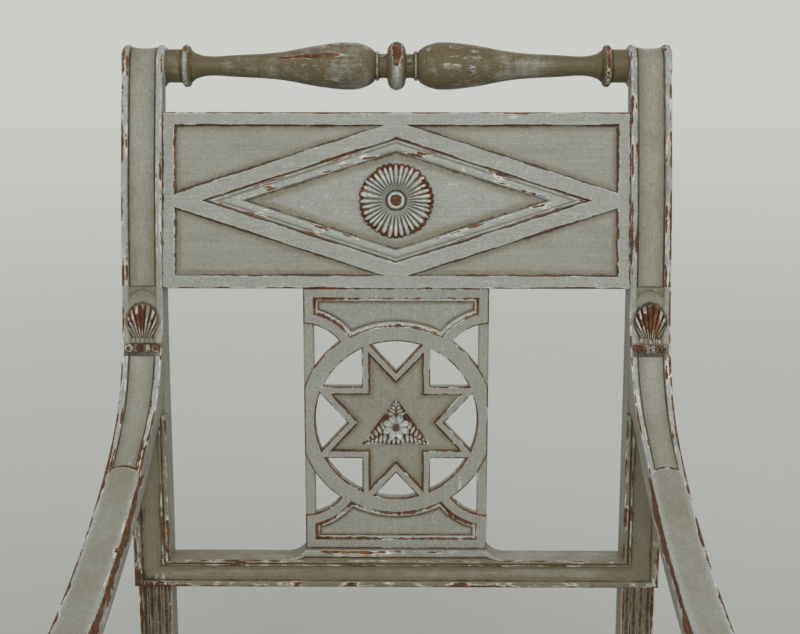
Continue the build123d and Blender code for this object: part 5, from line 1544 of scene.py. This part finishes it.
def palmette_rings(s, width):
    """Carved end of the arm: a lip and a hollow, then a fan of lobes that spread from a stem.

    Each lobe is a rounded ridge along a ray from the stem; heights are over a sunk ground.
    """
    across = np.linspace(0, 1, 73)
    a = (across - 0.5)[None] * width
    b = s[:, None]
    side = np.abs(a)
    x, y = a, 56.0 - b
    phi = np.arctan2(x, np.maximum(y, 1e-3))
    lobe = np.abs(np.cos(np.pi * phi / math.radians(8.2)))
    dome = np.hypot(x / 14.6, np.minimum(b - 32.0, 0.0) / 17.5)
    waist = side / (14.6 - 4.6 * bump(b, 32.0, 46.0))
    reach = np.where(b < 32.0, dome, waist) + 0.05 * (1 - lobe)
    inside = bump(1.0 - reach, 0.0, 0.09) * bump(46.5 - b, 0.0, 1.2)
    swell = (0.45 + 0.55 * bump(y, 10.0, 34.0)) * inside
    ground = 1.6 + 1.0 * bump(8.0 - np.abs(b - 8.5), 0.0, 8.0) * bump(13.0 - side, 0.0, 5.0)
    rim = bump(side, 11.0, 13.0) * bump(20.0 - b, 0.0, 10.0)
    lip_line = 2.2 + 7.0 * (side / 11.0) ** 2.4
    lip = np.exp(-(((b - lip_line) / 0.8) ** 2)) * bump(12.2 - side, 0.0, 1.5)
    above = bump(lip_line - b, 0.0, 0.8) * (side < 11.5)
    stalks = np.abs(np.cos(np.pi * a / 4.0)) * bump(b, 45.0, 46.5) * bump(51.0 - b, 0.0, 1.0) * (side < 11.0)
    depth = ground * (1 - rim) - 3.3 * swell * (0.25 + 0.75 * lobe**0.8) - 1.5 * stalks + above - lip * 1.6
    depth = np.where(side > 16.3, np.maximum(depth, (side - 16.3) * 0.8), depth)
    middle = np.exp(-((x / 5.0) ** 2 + ((b - 30.0) / 11.0) ** 2))
    wear = swell * (0.85 * lobe**4 + 1.0 * middle) + inside * 2.2 * (1 - lobe) + lip * 0.6 + stalks * 0.8
    wear = np.clip(wear + 0.8 * (side > 16.2), 0, 1.5)
    groove = bump(0.16 - np.abs(reach - 1.0), 0.0, 0.16) * (b < 47.0)
    grime_and_painted_light = np.clip(inside * (1 - lobe) ** 1.1 * 0.8 + groove * 0.85, 0, 1)
    grime_and_painted_light = np.clip(grime_and_painted_light + 0.8 * bump(b, 49.5, 52.0) + 0.3 * (side < 13), 0, 1) * (side < 16.2)
    return np.array([housed_ring(np.stack([across, *row], 1)) for row in zip(depth, wear, grime_and_painted_light)])


def arch_shift(ring):
    """How far each column of a section goes along, so that the section ends in an arch."""
    return ARM_ARCH * (1 - np.sqrt(np.clip(1 - (2 * ring[:, 0] - 1) ** 2, 0, 1)))


class ARMCHAIR_OT_arms(bpy.types.Operator):
    """Arms with a carved palmette, a channelled neck, a flat pad and a rolled hand"""

    bl_idname = "armchair.arms"
    bl_label = "Arms"

    def execute(self, context):
        sizes = context.scene.armchair_sizes
        draw = ArmDrawing()
        carved, pad_start = in_mm(sizes, "palmette", "pad_start")
        shell = Shell()
        s = np.linspace(0.0, carved, 84)
        draw.carry(shell, palmette_rings(s, POST_WIDTH), s)
        self.beads(shell, draw, carved - 7.0)

        # Channelled neck, which ends in an arch where the pad begins
        rows = strap_rows(POST_WIDTH)
        ring = bar_ring(rows)
        front = ring[:, 3] == 0
        ring[(ring[:, 0] > 0.955) & front, 4] = 1.35
        ring[(np.abs(ring[:, 0] - 0.5) < 0.28) & front, 5] += 0.06
        s = np.concatenate([[carved], np.linspace(carved + 3, pad_start, 36)])
        drag = bump(s, pad_start - 30.0, pad_start)
        rings = np.where((s < ARM_JOINT_DROP)[:, None, None], housed_ring(rows)[None], ring[None])
        draw.carry(shell, rings, s, drag[:, None] * arch_shift(ring))

        # Pad: its first stations are eased and worn round the arch
        ring = bar_ring(PAD_ROWS)
        front = ring[:, 3] == 0
        ring[(ring[:, 0] < 0.03) & front, 4] = 1.4
        ring[(ring[:, 0] > 0.03) & (ring[:, 0] < 0.12) & front, 4] = 0.4
        s = np.concatenate([[0.0, 0.25, 0.9, 3.0], np.linspace(8.0, draw.length - pad_start, 64)]) + pad_start
        drag = bump(pad_start + 40.0 - s, 0.0, 40.0)
        rings = np.repeat(ring[None], len(s), 0)
        on_top = front & (ring[:, 2] < 2.5)
        start_wear = np.interp(s - pad_start, [0.0, 0.9, 3.0], [1.0, 1.0, 0.0])
        start_drop = np.interp(s - pad_start, [0.0, 0.25, 0.9], [0.8, 0.25, 0.0]) - 0.35
        rings[:, :, 4] = np.maximum(rings[:, :, 4], start_wear[:, None] * on_top)
        rings[:, :, 2] += start_drop[:, None] * on_top
        draw.carry(shell, rings, s, drag[:, None] * arch_shift(ring))

        # Rolled hand
        half = np.array([
            (-17.0, 4.0, 0, 0),
            (-17.0, 11.5, 0, 0.8),
            (-16.4, 12.0, 0.5, 0.6),
            (-17.0, 12.6, 0.5, 0),
            (-17.0, 14.6, 1, 0),
            (-16.4, 15.6, 1, 0),
            (-15.0, 16.0, 1, 0),
            (-12.0, 16.0, 0, 0),
            (0.0, 16.0, 0, 0),
        ])
        profile = np.vstack([half, half[-2::-1] * (-1, 1, 1, 1)])
        lathe(shell, (ARM_MIDDLE, *draw.roll), (1, 0, 0), profile, 72)
        shell.carve_pair("arm", "arm", sharp=40)
        return {"FINISHED"}

    def beads(self, shell, draw, s):
        """A row of ringed beads across the arm, worn bare in the middle."""
        top, under = draw.at(np.array([s]))
        way = (under - top)[0]
        way = way / np.linalg.norm(way)
        out = np.array([0.0, -way[0], -way[1]])
        rows = [(-2.2, 3.9, 0, 1), (-0.6, 3.8, 1.0, 0.7), (0.5, 3.3, 1.0, 0.2), (0.7, 2.7, 0.9, 0.4)]
        rows += [(0.2, 2.3, 0.3, 1), (0.6, 1.9, 1.1, 0.3), (1.0, 1.1, 1.1, 0.2), (1.1, 0.2, 1.1, 0.2)]
        for x in (-11.7, -3.9, 3.9, 11.7):
            lathe(shell, (POST_MIDDLE + x, *top[0]), out, rows, 20)


# Supports, legs and seat rails


class ARMCHAIR_OT_supports(bpy.types.Operator):
    """Turned supports under the arms"""

    bl_idname = "armchair.supports"
    bl_label = "Arm supports"

    def execute(self, context):
        # Foot, vase, ring and cap, turned about an upright axis
        middle = (SUPPORT_LOW + SUPPORT_HIGH) / 2
        height = ARM_SEAT_Z - SEAT_TOP
        foot = half_round(0.0, 9.6, 11.0, 12.5, 9, 0.9, 0.6)
        vase = smooth_curve([(14.5, 8.2), (40.0, 12.8), (height - 27.0, 8.0)], (1, 0.7), (1, 0), 44)
        vase = np.column_stack([vase, 0.3 * np.exp(-(((vase[:, 0] - 40) / 14) ** 2)), 0 * vase[:, 0]])
        ring = half_round(height - 22.5, height - 18.5, 8.6, 10.4, 7, 0.9, 0.9)
        cap = half_round(height - 16.6, height - 7.0, 10.0, 11.5, 9, 0.9, 0.6)
        profile = np.vstack([
            foot,
            [(10.4, 9.2, 0, 1), (13.4, 8.0, 0, 0.9)],
            vase,
            [(height - 23.2, 8.2, 0, 0.9)],
            ring,
            [(height - 17.8, 8.6, 0, 1)],
            cap,
            [(height - 6.2, 9.4, 0, 1), (height - 4.0, 9.8, 0, 0.4)],
            [(height - 1.6, 11.4, 0.8, 0), (height, 11.5, 0, 0.6)],
        ])
        shell = Shell()
        lathe(shell, (middle[0], middle[1], SEAT_TOP), (0, 0, 1), profile, 56)
        shell.carve_pair("arm_support", "leg", "turned", 40)
        return {"FINISHED"}


class ARMCHAIR_OT_front_legs(bpy.types.Operator):
    """Front legs: a square block notched for the seat, over a turned and fluted leg"""

    bl_idname = "armchair.front_legs"
    bl_label = "Front legs"

    def execute(self, context):
        sizes = context.scene.armchair_sizes
        shell = Shell()
        low, high = LEG_LOW, LEG_HIGH
        top = high[2]
        edge, reach = in_mm(sizes, "edge", "wear_reach")
        middle = (low + high) / 2
        flat = Flat((0, 0, 0), (1, 0, 0), (0, 1, 0))
        wall_x = SIDE_LOW[0] + REBATE
        wall_y = FRONT_HIGH[1] - REBATE
        near = [low[:2], (high[0], low[1]), high[:2]]
        square = np.array([*near, (low[0], high[1])])
        notched = np.array([*near, (wall_x, high[1]), (wall_x, wall_y), (low[0], wall_y)])
        plate(shell, flat, [square], [
            (2.6, BLOCK_Z, 0, 0),
            (edge, BLOCK_Z, 1, 0),
            (0, BLOCK_Z + edge, 1, 0),
            (0, BLOCK_Z + 4, 0, 0),
            (0, LEDGE_Z, 0, 0),
            (1.0, LEDGE_Z, 0, 0),
        ])
        plate(shell, flat, [notched], [
            (0.5, LEDGE_Z - 1, 0, 0),
            (0, LEDGE_Z, 0, 0),
            (0, top - 4.5, 0, 0),
            (0, top - 2.4, 1, 0),
            (0.5, top - 1.6, 1, 0),
            (2.0, top, 1, 0),
            (2.0 + reach, top, 0, 0),
        ])

        # Collar, neck, fluted shaft, anklet and foot, turned about an upright axis
        collar = half_round(-14.0, -4.0, 18.0, 21.5, 11, 1.0, 0.8)[::-1]
        anklet = half_round(52.0, 62.0, 12.2, 15.2, 11, 1.0, 0.8)[::-1]
        collar[:, 0] += BLOCK_Z
        shaft_z = np.linspace(BLOCK_Z - 34.0, 63.0, 60)
        share = (shaft_z - 62.0) / (BLOCK_Z - 95.0)
        shaft = np.column_stack([shaft_z, 12.2 + 6.8 * share, 0 * shaft_z, 0 * shaft_z])
        foot_curve = smooth_curve([(51.6, 12.0), (31.0, 14.5), (0.6, 11.2)], (-1, 0.2), (-1, -0.2), 24)
        foot = np.column_stack([foot_curve, 0.9 * bump(12 - foot_curve[:, 0], 0, 12), 0 * foot_curve[:, 0]])
        neck = np.array([
            (-14.6, 17.2, 0, 1),
            (-17.0, 15.2, 0, 0.6),
            (-24.0, 15.2, 0, 0.6),
            (-26.4, 17.6, 0.3, 0.6),
            (-27.2, 18.8, 1, 0),
            (-30.0, 19.2, 0.8, 0),
            (-33.0, 19.0, 0.5, 0),
        ])
        profile = np.vstack([
            [(BLOCK_Z + 0.5, 18.5, 0, 1), (BLOCK_Z - 3.6, 18.6, 0, 0.9)],
            collar,
            neck + (BLOCK_Z, 0, 0, 0),
            shaft,
            anklet,
            foot,
            [(0.0, 10.4, 0.5, 0)],
        ])

        def fluted(rows, angle):
            """Radius less flutes that follow a sine round the leg and fade at both ends."""
            wave = np.abs(np.sin(angle * sizes.leg_flutes / 2)) ** 0.6
            z = rows[:, 0][:, None]
            window = bump(z, 68.0, 76.0) * bump(BLOCK_Z - 39.0 - z, 0.0, 8.0)
            return rows[:, 1][:, None] - 2.4 * (0.15 + 0.85 * wave[None]) * window

        lathe(shell, (middle[0], middle[1], 0), (0, 0, 1), profile, sizes.leg_flutes * 12, fluted)
        shell.carve_pair("front_leg", "leg", "turned", 40)
        return {"FINISHED"}


class ARMCHAIR_OT_seat_rails(bpy.types.Operator):
    """Seat rails with a sunk channel outside and a rebate inside"""

    bl_idname = "armchair.seat_rails"
    bl_label = "Seat rails"

    def section(self, thick, low_z, high_z):
        """Corners of a rail's section: distance in from its outer face, and height."""
        mid = (low_z + high_z) / 2
        sink, half = 2.0, 17.0
        return [
            (0.0, low_z),
            (0.0, mid - half),
            (sink, mid - half),
            (sink, mid + half),
            (0.0, mid + half),
            (0.0, high_z),
            (thick - REBATE, high_z),
            (thick - REBATE, high_z - LEDGE_DEPTH),
            (thick, high_z - LEDGE_DEPTH),
            (thick, low_z),
        ]

    def execute(self, context):
        low_z, high_z = SIDE_LOW[2], SIDE_HIGH[2]
        moulded = self.section(SIDE_HIGH[0] - SIDE_LOW[0], low_z, high_z)
        plain = [(0.0, low_z), (0.0, high_z), *moulded[6:]]

        def bar(corners, inward, path):
            """A section carried level along a path."""
            shell = Shell()
            straight_bar(shell, corners, inward, (0, 0, 1), path)
            return shell

        def run(low, high):
            """Places from one joint to the other, a little into both."""
            return np.linspace(low - JOINT_OVERLAP, high + JOINT_OVERLAP, 9)

        side = stations(SIDE_HIGH[0], run(LEG_HIGH[1], POST_FACE), 0.0)
        front = stations(run(-LEG_LOW[0], LEG_LOW[0]), FRONT_LOW[1], 0.0)
        rear = stations(run(-POST_INNER, POST_INNER), REAR_HIGH[1], 0.0)
        bar(moulded, (-1, 0, 0), side).carve_pair("seat_rail", "side", "moulded")
        bar(moulded, (0, 1, 0), front).carve("front_seat_rail", "rail", "moulded")
        bar(plain, (0, -1, 0), rear).carve("rear_seat_rail", "rail", "moulded")
        return {"FINISHED"}


# Seat


def seat_loop(inset, draw_in, corner):
    """Outline of the seat moved in by an inset: round corners, and sides drawn in by a parabola."""
    half = COVER_HIGH[0] - inset
    half_y = (COVER_HIGH[1] - COVER_LOW[1]) / 2 - inset
    corner = min(corner, 0.8 * half_y)
    bends = []
    for k, (sx, sy) in enumerate([(1, 1), (-1, 1), (-1, -1), (1, -1)]):
        centre = (sx * (half - corner), sy * (half_y - corner))
        bends.append(arc(centre, corner, k * np.pi / 2, (k + 1) * np.pi / 2, 11))
    loop = []
    along = np.linspace(0, 1, 36, endpoint=False)[1:, None]
    for k, bend in enumerate(bends):
        loop += [bend, bend[-1] + (bends[(k + 1) % 4][0] - bend[-1]) * along]
    x, y = np.vstack(loop).T
    pull_x = draw_in * (1 - (y / half_y) ** 2) * np.clip(np.abs(x) / half, 0, 1) ** 6
    pull_y = draw_in * (1 - (x / half) ** 2) * np.clip(np.abs(y) / half_y, 0, 1) ** 6
    y_middle = (COVER_LOW[1] + COVER_HIGH[1]) / 2
    return np.stack([x - np.sign(x) * pull_x, y - np.sign(y) * pull_y + y_middle], 1)


def net_of_loops(rows):
    """Loops as a net of points; rows are (inset, height, how far the sides draw in, corner radius)."""
    loops = [(seat_loop(inset, draw_in, corner).T, z) for inset, z, draw_in, corner in rows]
    return np.array([stations(*loop, z) for loop, z in loops])


def swell_cloth(piece, most, held_below):
    """Blow the pad up like a cushion: cloth with inside pressure, no weight, and its lower edge held."""
    scene = bpy.context.scene
    start = np.empty(len(piece.data.vertices) * 3)
    piece.data.vertices.foreach_get("co", start)
    start = start.reshape(-1, 3)
    held = piece.vertex_groups.new(name="held")
    held.add(np.flatnonzero(start[:, 2] < held_below).tolist(), 1.0, "REPLACE")
    cloth = piece.modifiers.new("swell", "CLOTH")
    cloth.settings.use_pressure = True
    cloth.settings.uniform_pressure_force = CLOTH_PRESSURE
    cloth.settings.effector_weights.gravity = 0.0
    cloth.settings.vertex_group_mass = "held"
    cloth.settings.tension_stiffness = CLOTH_STIFFNESS
    cloth.settings.compression_stiffness = CLOTH_STIFFNESS
    cloth.point_cache.frame_start = 1
    cloth.point_cache.frame_end = CLOTH_FRAMES
    for number in range(1, CLOTH_FRAMES + 1):
        scene.frame_set(number)
    shaped = piece.evaluated_get(bpy.context.evaluated_depsgraph_get())
    moved = np.empty(len(shaped.data.vertices) * 3)
    shaped.data.vertices.foreach_get("co", moved)
    move = moved.reshape(-1, 3) - start
    size = np.linalg.norm(move, axis=1, keepdims=True)
    piece.modifiers.remove(cloth)
    piece.vertex_groups.remove(held)
    scene.frame_set(1)
    move = move * np.minimum(1.0, most / np.maximum(size, 1e-9))
    piece.data.vertices.foreach_set("co", (start + move).ravel())
    piece.data.update()


class ARMCHAIR_OT_seat(bpy.types.Operator):
    """Drop-in seat: a swollen pad under cloth, with its edge turned under the bars"""

    bl_idname = "armchair.seat"
    bl_label = "Drop-in seat"

    def execute(self, context):
        sizes = context.scene.armchair_sizes
        pad_low = PAD_LOW[2] + PAD_GAP
        top = COVER_HIGH[2] - SWELL_ROOM
        edge = np.array([
            (190.0, 0.0, 0, 6),
            (60.0, 0.0, 0, 6),
            (6.0, 0.0, 0, 5),
            (1.5, 0.6, 0, 5),
            (0.9, 3.0, 0, 6),
            (1.0, 7.0, 0.5, 9),
            (1.8, 11.0, 1.5, 14),
            (4.0, 14.8, 2.5, 20),
            (8.5, 17.2, 3, 26),
            (15.0, 18.8, 3, 30),
        ])
        shoulder = pad_low + edge[-1, 1]
        inset = np.array([25.0, 40.0, 62.0, 90.0, 125.0, 165.0, 190.0])
        crown = shoulder + (top - shoulder) * (1 - (1 - inset / 205.0) ** 2)
        rows = [*(edge + (0, pad_low, 0, 0)), *((x, z, 3, 34) for x, z in zip(inset, crown))]
        shell = Shell()
        shell.grid(net_of_loops(rows), loop_columns=True, cap=True)
        nodes = ["seat_padding", "seat_cover"]
        pad = shell.build("seat_cushion", MATERIALS["linen"], "slip_seat", nodes, sharp=180)
        remesh = pad.modifiers.new("even", "REMESH")
        remesh.mode = "VOXEL"
        remesh.voxel_size = sizes.voxel
        even = bpy.data.meshes.new_from_object(pad.evaluated_get(context.evaluated_depsgraph_get()))
        pad.modifiers.remove(remesh)
        pad.data = even
        swell_cloth(pad, sizes.swell, (pad_low + HELD_EDGE) * MM)
        self.add_skirt(pad)
        pad.data.shade_smooth()
        smooth = pad.modifiers.new("smooth", "SUBSURF")
        smooth.levels = smooth.render_levels = 1
        return {"FINISHED"}

    def add_skirt(self, pad):
        """Cloth round the bars: down the sides of the seat and turned under, as a closed band."""
        low = COVER_LOW[2] + 0.15
        hem = PAD_LOW[2] + 7.0
        rows = [
            *[(0.9, hem), (0.35, hem - 0.3), (0.2, hem - 1.2)],
            *[(0.2, low + 6.0), (0.3, low + 1.6), (0.8, low + 0.5)],
            *[(2.0, low), (12.0, low), (19.6, low), (20.2, low + 0.5)],
            *[(19.6, low + 0.95), (3.0, low + 0.95), (1.35, low + 2.5)],
            *[(1.35, PAD_LOW[2] - 1.0), (1.6, hem - 1.0)],
        ]
        net = net_of_loops([(inset, z, 0.0, 4.0) for inset, z in rows])
        shell = Shell()
        shell.grid(net, loop_rows=True, loop_columns=True)
        band = bpy.data.meshes.new("skirt")
        band.from_pydata((np.vstack(shell.points) * MM).tolist(), [], shell.faces)
        work = bmesh.new()
        work.from_mesh(pad.data)
        work.from_mesh(band)
        bmesh.ops.recalc_face_normals(work, faces=work.faces)
        work.to_mesh(pad.data)
        work.free()
        bpy.data.meshes.remove(band)
        if not pad.data.materials:
            pad.data.materials.append(MATERIALS["linen"])


class ARMCHAIR_OT_inside(bpy.types.Operator):
    """Finishes of the pieces inside the seat and of the fasteners"""

    bl_idname = "armchair.inside"
    bl_label = "Inside and fasteners"

    def execute(self, context):
        for end in ("front", "rear"):
            dress_node(f"slip_{end}_bar", "pine_x")
            for side in SIDES:
                dress_node(f"{end}_{side}_corner_block", "pine_z")
        for side in SIDES:
            dress_node(f"slip_{side}_bar", "pine_y")
        dress_node("webbing_lengthwise", "webbing")
        dress_node("webbing_crosswise", "webbing")
        dress_node("hessian", "hessian")
        for node in ("corner_block_screws", "arm_screws", "cover_tacks"):
            dress_node(node, "iron")
        dress_node("seat_rail_pegs", "leg")
        dress_node("back_frame_pegs", "post")
        return {"FINISHED"}


# Stage


class ARMCHAIR_OT_stage(bpy.types.Operator):
    """Pale floor, soft lamps and the camera"""

    bl_idname = "armchair.stage"
    bl_label = "Stage"

    def execute(self, context):
        stage = context.scene.armchair_stage
        self.floor(context, stage)
        self.world(context, stage)
        self.lamp("key", (0.2, -2.1, 2.0), (0.0, 0.1, 0.7), 1.1, stage.key_power)
        self.lamp("left", (-2.4, -1.2, 1.6), (0.0, 0.0, 0.6), 1.6, stage.fill_power)
        self.lamp("right", (2.4, -1.0, 1.8), (0.0, 0.0, 0.6), 1.6, stage.fill_power)
        self.lamp("back", (0.4, 2.6, 2.2), (0.0, 0.0, 0.6), 1.6, stage.fill_power)
        self.camera(context, stage)
        context.scene.view_settings.view_transform = "Standard"
        return {"FINISHED"}

    def floor(self, context, stage):
        """Wide floor that fades into the background with distance."""
        g = Graph("pale_floor")
        cloud = g.noise(g.place(), 3.0, 3.0)
        base = g.shade(stage.floor, cloud * 0.06 + 0.97)
        near = g.node("ShaderNodeBsdfPrincipled", {}, {"Base Color": base, "Roughness": 0.8})
        far = g.node("ShaderNodeEmission", {}, {"Color": (*stage.background, 1.0), "Strength": 1.0})
        x, y = g.axes()[:2]
        away = (x * x + y * y) ** 0.5

        # The fade grows with distance so that it is even up the picture
        fade = (((away + 1.03) ** -1.0 * -2.3 + 1.0) * 1.05).clamp() * g.seen()
        g.node_output(g.node("ShaderNodeMixShader", {}, {0: fade, 1: near, 2: far}))
        mesh = bpy.data.meshes.new("floor")
        corners = stations(*rectangle(FLOOR_HALF, FLOOR_HALF).T, 0.0)
        mesh.from_pydata(corners.tolist(), [], [(0, 1, 2, 3)])
        mesh.materials.append(g.material)
        floor = bpy.data.objects.new("floor", mesh)
        context.scene.collection.objects.link(floor)

    def world(self, context, stage):
        """Even light all round, and the background for what is seen."""
        g = Graph("room", "worlds")
        context.scene.world = g.material
        light = {"Color": (0.97, 0.985, 1.0, 1.0), "Strength": stage.room_light}
        distance = {"Color": (*stage.background, 1.0), "Strength": 1.0}
        pair = [g.node("ShaderNodeBackground", {}, inputs) for inputs in (light, distance)]
        mixed = g.node("ShaderNodeMixShader", {}, {0: g.seen(), 1: pair[0], 2: pair[1]})
        g.node_output(mixed, "ShaderNodeOutputWorld")

    def lamp(self, name, place, target, size, power):
        """Square lamp turned towards a target."""
        data = bpy.data.lights.new(name, "AREA")
        data.size = size
        data.energy = power
        lamp = bpy.data.objects.new(name, data)
        lamp.location = place
        lamp.rotation_euler = (Vector(target) - Vector(place)).to_track_quat("-Z", "Y").to_euler()
        bpy.context.scene.collection.objects.link(lamp)

    def camera(self, context, stage):
        """Camera at the eye, turned by the yaw and the pitch."""
        data = bpy.data.cameras.new("camera")
        data.sensor_width = 36.0
        data.lens = stage.lens
        camera = bpy.data.objects.new("camera", data)
        turn = Matrix.Rotation(stage.yaw, 4, "Z") @ Matrix.Rotation(math.pi / 2 - stage.pitch, 4, "X")
        camera.matrix_world = Matrix.Translation(stage.eye) @ turn
        context.scene.collection.objects.link(camera)
        context.scene.camera = camera


OPERATORS = (
    ARMCHAIR_OT_posts,
    ARMCHAIR_OT_top_rail,
    ARMCHAIR_OT_panel,
    ARMCHAIR_OT_splat,
    ARMCHAIR_OT_lower_rail,
    ARMCHAIR_OT_arms,
    ARMCHAIR_OT_supports,
    ARMCHAIR_OT_front_legs,
    ARMCHAIR_OT_seat_rails,
    ARMCHAIR_OT_seat,
    ARMCHAIR_OT_inside,
    ARMCHAIR_OT_stage,
)
GROUPS = {
    "armchair_sizes": ArmchairSizes,
    "armchair_finish": ArmchairFinish,
    "armchair_stage": ArmchairStage,
}


class ARMCHAIR_PT_panel(bpy.types.Panel):
    """Sizes, finishes and pieces of the armchair"""

    bl_idname = "ARMCHAIR_PT_panel"
    bl_label = "Painted armchair"
    bl_space_type = "VIEW_3D"
    bl_region_type = "UI"
    bl_category = "Armchair"

    def draw(self, context):
        column = self.layout.column()
        for group in GROUPS:
            settings = getattr(context.scene, group)
            for name in settings.__annotations__:
                column.prop(settings, name)
        for operator in OPERATORS:
            column.operator(operator.bl_idname)


def register():
    """Add the settings, the operators and the panel."""
    for group, settings in GROUPS.items():
        bpy.utils.register_class(settings)
        setattr(bpy.types.Scene, group, PointerProperty(type=settings))
    for operator in OPERATORS:
        bpy.utils.register_class(operator)
    bpy.utils.register_class(ARMCHAIR_PT_panel)


def unregister():
    """Take away what register added."""
    bpy.utils.unregister_class(ARMCHAIR_PT_panel)
    for operator in reversed(OPERATORS):
        bpy.utils.unregister_class(operator)
    for group, settings in reversed(GROUPS.items()):
        delattr(bpy.types.Scene, group)
        bpy.utils.unregister_class(settings)


def main():
    """Make every piece in order."""
    register()
    make_materials(bpy.context.scene.armchair_finish)
    for operator in OPERATORS:
        group, name = operator.bl_idname.split(".")
        getattr(getattr(bpy.ops, group), name)()


if __name__ == "__main__":
    main()
